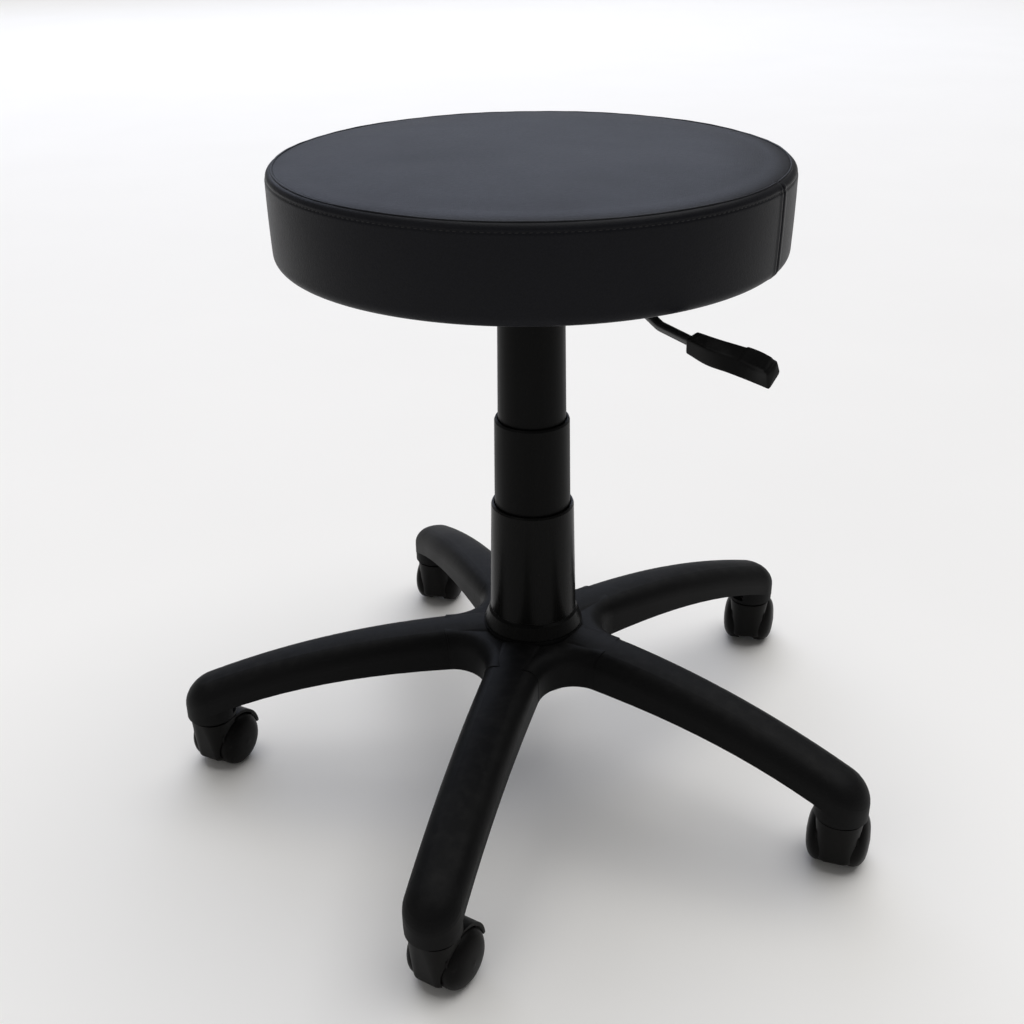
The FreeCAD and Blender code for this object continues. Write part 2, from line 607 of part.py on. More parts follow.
def lever_pin():
    """The pin through the bracket's ears, on which the rod rocks."""
    half = size("lever_rod / 2 + free + plate_thickness + pin_end")
    middle = Vector(size("lever_pivot"), half, size(LEVER_AXIS))
    pin = Part.makeCylinder(size("pivot_pin / 2"), 2 * half, middle, Vector(0, -1, 0))
    turn = Placement(Vector(0, 0, 0), Rotation(Vector(0, 0, 1), size("lever_azimuth")))
    feature("lever_pin", pin, turn)


def lever_route():
    """The rod's path in its own upright plane: level over the button, down, then level again."""
    axis = size(LEVER_AXIS)
    grip = size("seat_diameter / 2 + handle_overhang - handle_length")
    low = axis - size("lever_drop")
    return [Vector(-size("lever_tail"), 0, axis), Vector(grip - size("lever_bend_start"), 0, axis),
            Vector(grip - size("lever_bend_end"), 0, low + size("lever_slope")),
            Vector(grip + size("handle_socket"), 0, low)]


def rod_along(points, radius, bend):
    """A round rod along straight runs joined by tangent arcs."""
    edges = []
    start = points[0]
    for before, corner, after in zip(points, points[1:], points[2:]):
        inward = (before - corner).normalize()
        outward = (after - corner).normalize()
        half_turn = (math.pi - inward.getAngle(outward)) / 2
        back = bend * math.tan(half_turn)
        first = corner + inward * back
        last = corner + outward * back
        middle = corner + (inward + outward).normalize() * (bend / math.cos(half_turn) - bend)
        edges.append(Part.makeLine(start, first))
        edges.append(Part.Arc(first, middle, last).toShape())
        start = last
    edges.append(Part.makeLine(start, points[-1]))
    section = Part.Wire(Part.makeCircle(radius, points[0], points[1] - points[0]))
    return Part.Wire(edges).makePipeShell([section], True, False)


def lever():
    """The bent rod and the moulded paddle pushed over its outer end."""
    turn = Placement(Vector(0, 0, 0), Rotation(Vector(0, 0, 1), size("lever_azimuth")))
    radius = size("lever_rod / 2")
    route = lever_route()
    bend = size("2 * lever_rod")
    rod = rod_along(route, radius, bend)
    pivot = Vector(size("lever_pivot"), size("lever_rod"), size(LEVER_AXIS))
    rod = rod.cut(Part.makeCylinder(size("pivot_pin / 2 + running"), 4 * radius, pivot, Vector(0, -1, 0)))
    feature("lever_rod", rod, turn)
    low = size(LEVER_AXIS) - size("lever_drop")
    near = size("seat_diameter / 2 + handle_overhang - handle_length")
    length = size("handle_length")
    # Corners of the paddle, across and above the rod's lower run, at shares of its length
    stations = {
        0.00: ((-4.6, -6.2), (-4.6, 4.4), (5.2, 7.4), (6.2, -5.0)),
        0.30: ((-4.8, -7.2), (-4.6, 3.8), (5.8, 8.6), (7.8, -4.8)),
        0.55: ((-3.4, -8.8), (0.4, 1.6), (7.0, 9.0), (10.4, -3.0)),
        0.78: ((0.4, -10.4), (2.0, -0.8), (9.2, 8.4), (12.4, -1.6)),
        1.00: ((2.4, -11.4), (-0.4, 0.2), (7.6, 7.4), (11.2, -1.2)),
    }
    wires = []
    for share, corners in stations.items():
        reach = near + share * length
        points = [Vector(reach, across, low + above) for across, above in corners]
        wires.append(Part.makePolygon(points + points[:1]))
    paddle = Part.makeLoft(wires, True, True)
    socket = rod_along(route, radius + size("running"), bend)
    feature("lever_handle", paddle.cut(socket), turn)


# ---- Seat --------------------------------------------------------------------------------------

def seat_cover():
    """Vinyl cover: crowned top, upright band and a fold stapled under the board."""
    radius = SEAT_RADIUS
    low = SEAT_RADIUS + " - seat_taper"
    top = SEAT_TOP
    edge = SEAT_TOP + " - seat_crown"
    fold = SEAT_RADIUS + " - seat_taper - vinyl_fold"
    bottom = SEAT_BOTTOM
    outside = [("0", top), (radius + " * 0.3", top), (radius + " * 0.7", top + " - 0.4 * seat_crown"),
               (radius + " - seat_top_round", edge), (radius + " - 0.3 * seat_top_round",
                                                     edge + " - 0.3 * seat_top_round"),
               (radius, edge + " - seat_top_round"), (low, bottom + " + seat_bottom_round"),
               (low + " - 0.3 * seat_bottom_round", bottom + " + 0.3 * seat_bottom_round"),
               (low + " - seat_bottom_round", bottom), (fold, bottom)]
    inside = [(fold, bottom + " + vinyl"), (BOARD_RADIUS, bottom + " + vinyl"),
              (low + " - vinyl", bottom + " + seat_bottom_round + vinyl"),
              (radius + " - vinyl", edge + " - seat_top_round"),
              (radius + " - 0.3 * seat_top_round - vinyl", edge + " - 0.3 * seat_top_round - vinyl"),
              (radius + " - seat_top_round", edge + " - vinyl"),
              (radius + " * 0.7", top + " - 0.4 * seat_crown - vinyl"),
              (radius + " * 0.3", top + " - vinyl"), ("0", top + " - vinyl")]
    cover = turned("cover_skin", outside + inside)
    seam = doc.addObject("Part::Torus", "piping_seam")
    bind(seam, {"Radius1": PIPING_REACH, "Radius2": "piping_diameter / 2 + running",
                "Placement.Base.z": PIPING_HEIGHT})
    sewn = cut("cover_sewn", cover, seam)
    doc.recompute()
    band, panel = sorted(sewn.Shape.Solids, key=lambda solid: solid.CenterOfMass.z)
    feature("seat_top_panel", panel)
    feature("seat_band", band)


def seat_piping():
    """Welt cord sewn into the seam between the top panel and the band."""
    item = doc.addObject("Part::Torus", "seat_piping")
    item.Label = "seat_piping"
    return bind(item, {"Radius1": PIPING_REACH, "Radius2": "piping_diameter / 2",
                       "Placement.Base.z": PIPING_HEIGHT})


def seat_foam():
    """Moulded foam pad glued to the board; its sides follow the band and it fills the cover."""
    gap = "2 * vinyl"
    side = SEAT_RADIUS + " - " + gap
    low = SEAT_RADIUS + " - seat_taper - " + gap
    edge = SEAT_TOP + " - seat_crown - 1.3 * seat_top_round"
    under = SEAT_TOP + " - " + gap
    inside = PIPING_REACH + " - piping_diameter / 2 - 2 * loose"
    return turned("seat_foam", [
        ("0", BOARD_TOP), (BOARD_RADIUS, BOARD_TOP), (low, BOARD_TOP + " + loose"), (side, edge),
        (inside, edge), (inside, under + " - seat_crown"),
        (SEAT_RADIUS + " * 0.7", under + " - 0.4 * seat_crown"), (SEAT_RADIUS + " * 0.3", under),
        ("0", under)])


def seat_board():
    """Round plywood board with four counterbored holes for the tee nuts."""
    disc = cylinder("board_disc", BOARD_RADIUS + " - running", "board_thickness", z=BOARD_BOTTOM)
    holes = []
    for along in (-1, 1):
        for across in (-1, 1):
            x = "%d * bolt_spacing / 2" % along
            y = "%d * bolt_spacing / 2" % across
            holes.append(cylinder("nut_hole", "nut_barrel / 2 + running", "2 * board_thickness", x, y,
                                  SEAT_BOTTOM + " - board_thickness / 2"))
            holes.append(cylinder("nut_recess", "nut_flange / 2 + loose", "2 * nut_flange_thickness", x, y,
                                  BOARD_TOP + " - nut_flange_thickness"))
    item = cut("seat_board", disc, fused("board_holes", holes))
    item.Label = "seat_board"
    return about_column(item, size("lever_azimuth"))


def dust_cover():
    """Thin black cloth that closes the underside, with the seat plate bolted through it."""
    reach = SEAT_RADIUS + " - seat_taper - vinyl_fold + dust_cover_lap"
    disc = cylinder("cloth_disc", reach, "dust_cover", z=PLATE_TOP)
    holes = [cylinder("cloth_opening", "bolt_diameter / 2 + loose", "4 * dust_cover",
                      "%d * bolt_spacing / 2" % along, "%d * bolt_spacing / 2" % across,
                      PLATE_TOP + " - dust_cover") for along in (-1, 1) for across in (-1, 1)]
    item = cut("dust_cover", disc, fused("cloth_holes", holes))
    item.Label = "dust_cover"
    return about_column(item, size("lever_azimuth"))


def bolt_places():
    """The four corners of the seat plate's bolt pattern, turned with the lever."""
    half = size("bolt_spacing / 2")
    turn = Rotation(Vector(0, 0, 1), size("lever_azimuth"))
    return [turn.multVec(Vector(along * half, across * half, 0)) for along in (-1, 1) for across in (-1, 1)]


def plate_bolts():
    """Four hexagon-headed bolts that hold the seat plate to the board."""
    under = size(PLATE_TOP) - size("plate_thickness")
    head = size("bolt_head")
    shank = size("bolt_diameter / 2 - running")
    reach = size(BOARD_TOP) - size("2 * nut_flange_thickness") - under
    across = size("bolt_across") / math.sqrt(3)
    bolts = []
    for place in bolt_places():
        corners = [place + Vector(across * math.cos(math.radians(azimuth)),
                                  across * math.sin(math.radians(azimuth)), under - head)
                   for azimuth in polar(6)]
        bolt = prism(corners, Vector(0, 0, head))
        bolts.append(bolt.fuse(Part.makeCylinder(shank, reach, place + Vector(0, 0, under))))
    feature("plate_bolts", Part.makeCompound(bolts))


def tee_nuts():
    """The flanged nuts pressed into the board from above, one for each bolt."""
    thickness = size("nut_flange_thickness")
    flange = size(BOARD_TOP) - thickness
    barrel = size("board_thickness - 2 * nut_flange_thickness")
    nuts = []
    for place in bolt_places():
        foot = place + Vector(0, 0, flange - barrel)
        nut = Part.makeCylinder(size("nut_flange / 2"), thickness, place + Vector(0, 0, flange))
        nut = nut.fuse(Part.makeCylinder(size("nut_barrel / 2"), barrel, foot))
        nuts.append(nut.cut(Part.makeCylinder(size("bolt_diameter / 2"), barrel + 2 * thickness, foot)))
    feature("tee_nuts", Part.makeCompound(nuts))


def staples():
    """Wire staples through the cloth and the vinyl's fold into the board."""
    wire = size("staple_wire")
    width = size("staple_width")
    leg = size("staple_leg")
    circle = size(SEAT_RADIUS + " - seat_taper - vinyl_fold + dust_cover_lap / 2")
    low = size(PLATE_TOP) - wire
    shapes = []
    for azimuth in polar(size("staple_count"), size("staple_azimuth")):
        staple = Part.makeBox(wire, width, wire, Vector(circle, -width / 2, low))
        legs = [Part.makeBox(wire, wire, leg, Vector(circle, side, low))
                for side in (-width / 2, width / 2 - wire)]
        shapes.append(turned_z(staple.multiFuse(legs).removeSplitter(), azimuth))
    feature("staples", Part.makeCompound(shapes))


# ---- Casters -----------------------------------------------------------------------------------

def caster_place(index):
    """Where a caster's stem stands, with the caster turned to its yaw."""
    azimuth = math.radians(size("arm_azimuth") + 360.0 * index / size("arm_count"))
    reach = size("stem_circle")
    return Placement(Vector(reach * math.cos(azimuth), reach * math.sin(azimuth), 0),
                     Rotation(Vector(0, 0, 1), size("yaw_" + CASTERS[index])))


def across_caster(radius, low, high):
    """A solid disc about the axle between two distances along it."""
    axle = Vector(size("caster_trail"), low, size("wheel_diameter / 2"))
    return Part.makeCylinder(radius, high - low, axle, Vector(0, 1, 0))


def hood_section(share):
    """The barrel's outline at a share of the way up from its toe: a flat front with round corners."""
    low = size("hood_toe")
    half = (size("hood_toe_width") * (1 - share) + size("hood_top_width") * share) / 2
    reach = size("hood_toe_reach") * (1 - share) + size("hood_top_reach") * share
    corner = reach * (size("hood_toe_corner") * (1 - share) + size("hood_top_corner") * share)
    height = low + (size("hood_height") - low) * share
    bend = corner * math.sqrt(0.5)
    back = size("caster_trail / 2")

    def point(x, y):
        return Vector(x, y, height)
    sides = []
    for side in (1, -1):
        arc = Part.Arc(point(corner - reach, side * half),
                       point(corner - reach - bend, side * (half - corner + bend)),
                       point(-reach, side * (half - corner)))
        sides.append(arc.toShape())
    return Part.Wire([
        Part.makeLine(point(back, half), point(corner - reach, half)), sides[0],
        Part.makeLine(point(-reach, half - corner), point(-reach, corner - half)), sides[1],
        Part.makeLine(point(corner - reach, -half), point(back, -half)),
        Part.makeLine(point(back, -half), point(back, half))])


def hood_barrel():
    """The barrel over the stem, which narrows downwards to a toe with rounded edges."""
    barrel = Part.makeLoft([hood_section(share) for share in (0, 0.3, 0.65, 1)], True, False)
    low = size("hood_toe")
    back = size("caster_trail / 2")
    toe = [edge for edge in barrel.Edges
           if abs(edge.BoundBox.ZMax - low) < size("running") and edge.BoundBox.XMin < back - 1]
    return barrel.makeFillet(size("hood_toe_round"), toe)


def hood_shape():
    """Moulded hood: a barrel over the stem, an arch over the wheels and the web between them."""
    toe = size("hood_toe")
    top = size("hood_height")
    axle = size("wheel_diameter / 2")
    trail = size("caster_trail")
    cavity = axle + size("hood_gap")
    arch = cavity + size("hood_wall")
    half = size("hood_width / 2")
    web = size("web_width / 2")
    barrel = hood_barrel()
    above = Part.makeBox(3 * arch, 3 * arch, 2 * arch, Vector(-arch / 3, -1.5 * arch, axle + toe / 4))
    roof = across_caster(arch, -half, half).common(above)
    shell = barrel.fuse(roof)
    for low, high in ((-2 * half, -web), (web, 2 * half)):
        shell = shell.cut(across_caster(cavity, low, high))
    disc = across_caster(size("hood_disc / 2"), -web, web)
    crest = across_caster(cavity, -web, web).common(above)
    neck = Part.makeBox(trail, 2 * web, top - 2 * toe, Vector(0, -web, 1.5 * toe))
    hood = shell.multiFuse([disc, crest, neck.common(across_caster(cavity, -web, web))])
    hood = hood.removeSplitter()
    hood = hood.cut(across_caster(size("axle_diameter / 2 + running / 2"), -2 * half, 2 * half))
    foot = size(STEM_FOOT) - size("loose")
    return hood.cut(Part.makeCylinder(size("stem_diameter / 2 + running"), top, Vector(0, 0, foot)))


def stem_shape():
    """Swivel stem with its collar and the groove for the grip ring."""
    radius = size("stem_diameter / 2")
    foot = size(STEM_FOOT)
    low = size("hood_height + loose / 2")
    seat = size(DROP_END)
    top = seat + size("stem_insert")
    groove = Vector(0, 0, top - size("groove_from_end"))
    wide = size("stem_groove")
    stem = Part.makeCylinder(radius, top - foot, Vector(0, 0, foot))
    stem = stem.fuse(Part.makeCylinder(size("stem_collar_diameter / 2"), seat - low, Vector(0, 0, low)))
    ring = Part.makeCylinder(2 * radius, wide, groove)
    return stem.cut(ring.cut(Part.makeCylinder(radius - 1, wide, groove)))


def grip_ring_shape():
    """Split spring ring that sits in the stem's groove and holds it in its socket."""
    radius = size("stem_diameter / 2")
    gap = size("loose / 3")
    thickness = size("stem_groove") - 2 * gap
    low = size(DROP_END) + size("stem_insert - groove_from_end") + gap
    ring = Part.makeCylinder(radius, thickness, Vector(0, 0, low))
    ring = ring.cut(Part.makeCylinder(radius - 1 + size("running"), thickness, Vector(0, 0, low)))
    return ring.cut(Part.makeBox(2 * radius, thickness, 2 * thickness, Vector(0, -thickness / 2, low)))


def caster_wheel(label, place, side):
    """Wheel with a flat tread and a domed outer face; it is blind over the axle's end.

    The dome is a smooth curve from the tread's edge to its middle, turned about the axle."""
    tread = size("wheel_diameter / 2")
    inner = size("web_width / 2 + free / 2")
    outer = size("wheel_pair_width / 2")
    edge = inner + size("wheel_tread")
    bore = size("axle_diameter / 2 + running")
    blind = outer - size("axle_end") + size("loose")
    dome = Part.BSplineCurve()
    # The dome's points, at shares of its depth along the axle and of the wheel's radius
    shares = ((0, 1), (0.38, 0.95), (0.7, 0.78), (0.9, 0.5), (1, 0))
    dome.interpolate([Vector(edge + (outer - edge) * along, 0, tread * out) for along, out in shares])
    corners = [Vector(outer, 0, 0), Vector(blind, 0, 0), Vector(blind, 0, bore), Vector(inner, 0, bore),
               Vector(inner, 0, tread), Vector(edge, 0, tread)]
    outline = Part.Wire([Part.makeLine(first, last) for first, last in zip(corners, corners[1:])]
                        + [dome.toShape()])
    wheel = Part.Face(outline).revolve(Vector(0, 0, 0), Vector(1, 0, 0), 360)
    lay = Placement(Vector(size("caster_trail"), 0, size("wheel_diameter / 2")),
                    Rotation(Vector(0, 0, 1), 90 * side))
    feature(label, wheel, place * lay)


def casters():
    """Five casters, each a hood, an axle and two wheels, with its stem and grip ring."""
    stems = []
    rings = []
    hood = hood_shape()
    axle_length = size("wheel_pair_width - 2 * axle_end")
    for index, name in enumerate(CASTERS):
        place = caster_place(index)
        feature(name + "_hood", hood.copy(), place)
        axle = across_caster(size("axle_diameter / 2"), -axle_length / 2, axle_length / 2)
        feature(name + "_axle", axle, place)
        caster_wheel(name + "_wheel_a", place, 1)
        caster_wheel(name + "_wheel_b", place, -1)
        for group, shape in ((stems, stem_shape()), (rings, grip_ring_shape())):
            shape.Placement = place
            group.append(shape)
    feature("caster_stems", Part.makeCompound(stems))
    feature("stem_grip_rings", Part.makeCompound(rings))


five_star_base()
hub_ring()
stand_tube()
guide_bush()
thrust_bearing()
piston_rod()
rod_fittings()
pressure_cylinder()
cylinder_fittings()
column_covers()
seat_plate()
lever_bracket()
lever_pin()
lever()
seat_cover()
seat_piping()
seat_foam()
seat_board()
dust_cover()
plate_bolts()
tee_nuts()
staples()
casters()
doc.recompute()

# ---- Check every object and write each sub-part -------------------------------------------------

NODES = [
    "five_star_base", "hub_ring", "stand_tube", "guide_bush", "bearing_lower_race",
    "bearing_upper_race", "bearing_balls", "bearing_cage", "piston_rod", "retaining_clip", "bumper",
    "gas_piston", "pressure_cylinder", "rod_seal", "valve_block", "valve_button", "lower_cover",
    "middle_cover", "upper_cover", "seat_plate", "lever_bracket", "lever_pin", "lever_rod",
    "lever_handle", "seat_top_panel", "seat_band", "seat_piping", "seat_foam", "seat_board", "dust_cover",
    "plate_bolts", "tee_nuts", "staples", "caster_stems", "stem_grip_rings",
] + [name + piece for name in CASTERS for piece in ("_hood", "_axle", "_wheel_a", "_wheel_b")]

for item in doc.Objects:
    if "Invalid" in item.State or "Error" in item.State:
        raise RuntimeError("%s did not build: %s" % (item.Label, item.State))
for node in NODES:
    item = doc.getObjectsByLabel(node)[0]
    shape = item.Shape
    if shape.isNull() or not shape.isValid():
        raise RuntimeError(node + " has no valid shape")
    shape.exportStep("parts/" + node + ".step")
    print("%-26s %10.0f mm3 %3d solids" % (node, shape.Volume, len(shape.Solids)))
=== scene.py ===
import math

import bpy
import numpy as np
from mathutils import Matrix, Vector


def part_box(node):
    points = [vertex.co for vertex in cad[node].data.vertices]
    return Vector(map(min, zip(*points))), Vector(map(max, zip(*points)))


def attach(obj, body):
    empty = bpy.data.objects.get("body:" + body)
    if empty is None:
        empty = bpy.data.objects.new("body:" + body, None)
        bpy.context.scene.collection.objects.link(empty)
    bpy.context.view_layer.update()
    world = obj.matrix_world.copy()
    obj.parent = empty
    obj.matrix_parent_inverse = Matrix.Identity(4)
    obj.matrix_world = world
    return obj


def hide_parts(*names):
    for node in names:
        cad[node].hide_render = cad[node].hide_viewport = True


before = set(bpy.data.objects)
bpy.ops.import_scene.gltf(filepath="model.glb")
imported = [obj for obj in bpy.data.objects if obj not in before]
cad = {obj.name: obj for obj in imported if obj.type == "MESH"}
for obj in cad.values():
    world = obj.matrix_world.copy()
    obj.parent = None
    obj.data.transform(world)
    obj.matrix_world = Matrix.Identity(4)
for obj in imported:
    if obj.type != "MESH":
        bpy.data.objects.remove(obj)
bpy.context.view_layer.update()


# ---- Five-star base ----------------------------------------------------------------------------
# One nylon moulding with five arched arms, hollow and ribbed underneath.
# It is moulded in black with a fine spark-eroded texture, and a steel ring is shrunk round its boss.

class Flow:
    """A value on its way through a material's nodes. Arithmetic on it adds Math nodes."""

    def __init__(self, finish, socket):
        self.finish = finish
        self.socket = socket

    def maths(self, operation, first, second):
        return self.finish.node("ShaderNodeMath", {"operation": operation}, {0: first, 1: second})

    def __add__(self, other):
        return self.maths("ADD", self, other)

    def __radd__(self, other):
        return self.maths("ADD", other, self)

    def __sub__(self, other):
        return self.maths("SUBTRACT", self, other)

    def __rsub__(self, other):
        return self.maths("SUBTRACT", other, self)

    def __mul__(self, other):
        return self.maths("MULTIPLY", self, other)

    def __rmul__(self, other):
        return self.maths("MULTIPLY", other, self)


class Finish:
    """A material under construction, with its shader and the one method that adds nodes."""

    def __init__(self, name, **constants):
        self.material = bpy.data.materials.new(name)
        self.material.use_nodes = True
        self.tree = self.material.node_tree
        self.tree.nodes.clear()
        self.shader = self.tree.nodes.new("ShaderNodeBsdfPrincipled")
        output = self.tree.nodes.new("ShaderNodeOutputMaterial")
        self.tree.links.new(self.shader.outputs[0], output.inputs[0])
        self.set(self.shader, {key.replace("_", " "): value for key, value in constants.items()})

    def set(self, node, inputs):
        """Link or fill a node's sockets; a colour of three parts is made opaque."""
        for key, value in inputs.items():
            socket = node.inputs[key]
            if isinstance(value, Flow):
                self.tree.links.new(value.socket, socket)
            elif socket.type == "RGBA":
                socket.default_value = value + (1.0,)
            else:
                socket.default_value = value

    def node(self, kind, settings=None, inputs=None, output=0):
        """Add a node: its settings first, with a ramp's two stops among them, then its sockets."""
        made = self.tree.nodes.new(kind)
        for key, value in (settings or {}).items():
            if key == "stops":
                for stop, position in zip(made.color_ramp.elements, value):
                    stop.position = position
            else:
                setattr(made, key, value)
        self.set(made, inputs or {})
        return Flow(self, made.outputs[output])

    def place(self, stretch=(1.0, 1.0, 1.0)):
        """Object coordinates, drawn out along some axes."""
        where = self.node("ShaderNodeTexCoord", output="Object")
        return self.node("ShaderNodeMapping", None, {"Vector": where, "Scale": stretch})

    def noise(self, scale, detail=3.0, stretch=(1.0, 1.0, 1.0)):
        """Cloudy noise from 0 to 1, with a number of features to the metre."""
        return self.node("ShaderNodeTexNoise", None,
                         {"Vector": self.place(stretch), "Scale": scale, "Detail": detail})

    def cells(self, scale):
        """The distance from the middle of scattered round cells."""
        return self.node("ShaderNodeTexVoronoi", None, {"Vector": self.place(), "Scale": scale})

    def ramp(self, value, low, high):
        """0 below the low value, 1 above the high one, and an even rise between them."""
        return self.node("ShaderNodeValToRGB", {"stops": (low, high)}, {0: value})

    def mix(self, share, first, second):
        """Colours blended by a share from 0 to 1."""
        return self.node("ShaderNodeMix", {"data_type": "RGBA"}, {0: share, 6: first, 7: second}, 2)

    def look(self, colour=None, roughness=None, height=None, depth=0.0001, strength=1.0):
        """Join what varies over the surface to the shader; height goes through a Bump node."""
        if colour is not None:
            self.set(self.shader, {"Base Color": colour})
        if roughness is not None:
            self.set(self.shader, {"Roughness": roughness})
        if height is not None:
            bump = self.node("ShaderNodeBump", None,
                             {"Height": height, "Distance": depth, "Strength": strength})
            self.set(self.shader, {"Normal": bump})
        return self.material


def wear(names, material):
    """Give the named nodes a finish."""
    for name in names:
        slots = cad[name].data.materials
        slots.clear()
        slots.append(material)


def scaled(colour, by):
    """A colour made darker or lighter."""
    return tuple(min(1.0, part * by) for part in colour)


def moulded(name, colour, roughness, grain, grain_depth, specular, dust=0.0):
    """Moulded plastic: spark-eroded grain, cloudy gloss, fine scuffs and a little dust on top."""
    finish = Finish(name, Specular_IOR_Level=specular)
    cloud = finish.noise(22.0, 4.0)
    fine = finish.noise(grain, 2.0)
    scuffs = finish.ramp(finish.noise(60.0, 6.0, (1.0, 14.0, 3.0)), 0.62, 0.72)
    normal = finish.node("ShaderNodeNewGeometry", output="Normal")
    upward = finish.node("ShaderNodeSeparateXYZ", None, {0: normal}, "Z")
    settled = finish.ramp(upward, 0.55, 1.0) * finish.ramp(finish.noise(95.0, 5.0), 0.45, 0.75)
    tone = finish.mix(cloud, scaled(colour, 0.8), scaled(colour, 1.25))
    tone = finish.mix(scuffs * 0.22, tone, scaled(colour, 3.0))
    dust_colour = (0.22, 0.21, 0.2)
    tone = finish.mix(settled * dust, tone, dust_colour)
    gloss = roughness + (cloud - 0.5) * 0.14 + scuffs * 0.08 + settled * (dust * 0.8)
    return finish.look(tone, gloss, fine + scuffs * 0.15, grain_depth, 0.8)


nylon = moulded("black_nylon", (0.0048, 0.0048, 0.005), 0.52, 1400.0, 0.00009, 0.085, 0.03)
wear(["five_star_base"], nylon)


def plated(name, colour, roughness, metallic, brushing, stretch):
    """Metal: drawn or turned marks, cloudy plating and faint stains."""
    finish = Finish(name, Metallic=metallic)
    marks = finish.noise(brushing, 3.0, stretch)
    cloud = finish.noise(45.0, 4.0)
    tone = finish.mix(cloud, scaled(colour, 0.82), scaled(colour, 1.1))
    gloss = roughness + (marks - 0.5) * 0.18 + (cloud - 0.5) * 0.1
    return finish.look(tone, gloss, marks, 0.00003, 0.6)


zinc = plated("zinc_plate", (0.58, 0.59, 0.57), 0.34, 1.0, 260.0, (1.0, 1.0, 6.0))
wear(["hub_ring"], zinc)


# ---- Casters -----------------------------------------------------------------------------------
# Five twin-wheel casters: a moulded nylon hood over two domed nylon wheels on a steel axle.
# Each swivels on a steel stem that a spring ring holds in the arm's socket.

casters = ("front_right", "back_right", "back_left", "left", "front")
hood_nylon = moulded("hood_nylon", (0.0046, 0.0044, 0.0041), 0.45, 1700.0, 0.00007, 0.08, 0.02)
wear([name + "_hood" for name in casters], hood_nylon)


def rolled_nylon():
    """Wheel nylon: satin, with small pale nicks from rolling."""
    finish = Finish("wheel_nylon", Specular_IOR_Level=0.05)
    cloud = finish.noise(38.0, 4.0)
    fine = finish.noise(1500.0, 2.0)
    nicks = finish.ramp(finish.noise(240.0, 5.0), 0.6, 0.72)
    tone = finish.mix(cloud, (0.005, 0.0048, 0.0048), (0.008, 0.0076, 0.0074))
    tone = finish.mix(nicks * 0.2, tone, (0.03, 0.029, 0.027))
    gloss = 0.38 + (cloud - 0.5) * 0.16 + nicks * 0.12
    return finish.look(tone, gloss, fine - nicks * 0.3, 0.00008, 0.7)


wear([name + "_wheel_" + side for name in casters for side in "ab"], rolled_nylon())
ground = plated("ground_steel", (0.62, 0.62, 0.63), 0.22, 1.0, 420.0, (1.0, 1.0, 9.0))
wear([name + "_axle" for name in casters] + ["stem_grip_rings"], ground)
wear(["caster_stems"], zinc)


# ---- Gas lift ----------------------------------------------------------------------------------
# A steel stand tube in the hub's taper, a thrust bearing, the piston rod and the pressure cylinder.
# The tube and cylinder are black-enamelled steel; the bush, cage and piston are natural acetal.

def enamel():
    """Black enamel on steel with a faint orange-peel skin."""
    finish = Finish("black_enamel", Coat_Weight=0.3, Coat_Roughness=0.2)
    peel = finish.noise(420.0, 2.0)
    cloud = finish.noise(30.0, 4.0)
    tone = finish.mix(cloud, (0.005, 0.005, 0.0055), (0.009, 0.009, 0.0095))
    return finish.look(tone, 0.34 + (cloud - 0.5) * 0.14, peel, 0.00006, 0.6)


def moulded_rubber():
    """Matt rubber with a dusty bloom."""
    finish = Finish("moulded_rubber", Specular_IOR_Level=0.25)
    bloom = finish.noise(85.0, 5.0)
    tone = finish.mix(bloom, (0.012, 0.012, 0.012), (0.028, 0.027, 0.026))
    return finish.look(tone, 0.72 + (bloom - 0.5) * 0.2, finish.noise(900.0), 0.0001, 0.7)


black_enamel = enamel()
acetal = moulded("natural_acetal", (0.72, 0.71, 0.66), 0.38, 900.0, 0.00005, 0.5)
wear(["stand_tube", "pressure_cylinder"], black_enamel)
wear(["guide_bush", "bearing_cage", "gas_piston"], acetal)
wear(["piston_rod", "bearing_lower_race", "bearing_upper_race", "bearing_balls"], ground)
wear(["retaining_clip", "valve_block", "valve_button"], zinc)
wear(["bumper", "rod_seal"], moulded_rubber())


# ---- Telescoping covers ------------------------------------------------------------------------
# Three thin polypropylene tubes that hide the lift, each sliding inside the one below.
# They are smooth mouldings with faint upright rubbing marks; the lowest one is the glossiest.

def sliding_gloss(name, colour, roughness, coat):
    """Smooth black moulding: long upright rub marks, cloudy polish and fine dust."""
    finish = Finish(name, Specular_IOR_Level=0.06, Coat_Weight=coat, Coat_Roughness=0.2)
    rubs = finish.noise(210.0, 4.0, (1.0, 1.0, 0.03))
    cloud = finish.noise(26.0, 4.0)
    specks = finish.ramp(finish.noise(700.0, 2.0), 0.66, 0.74)
    tone = finish.mix(cloud, scaled(colour, 0.85), scaled(colour, 1.2))
    tone = finish.mix(specks * 0.15, tone, (0.04, 0.039, 0.037))
    gloss = roughness + (rubs - 0.5) * 0.16 + (cloud - 0.5) * 0.1 + specks * 0.1
    return finish.look(tone, gloss, rubs * 0.7 + finish.noise(1300.0) * 0.3, 0.00004, 0.7)


lower_gloss = sliding_gloss("lower_cover_gloss", (0.0040, 0.0040, 0.0038), 0.28, 0.02)
upper_satin = sliding_gloss("upper_cover_satin", (0.0038, 0.0038, 0.0038), 0.42, 0.0)
wear(["lower_cover"], lower_gloss)
wear(["middle_cover", "upper_cover"], upper_satin)


# ---- Seat plate and lever ----------------------------------------------------------------------
# A pressed steel plate holds the cylinder's taper; a steel rod pivots in its bowl over the valve.
# The rod's outer end carries a satin black paddle with a hollow grip and a raised end pad.

wear(["seat_plate", "lever_rod"], black_enamel)
wear(["lever_bracket", "plate_bolts", "tee_nuts"], zinc)
wear(["lever_pin", "staples"], ground)


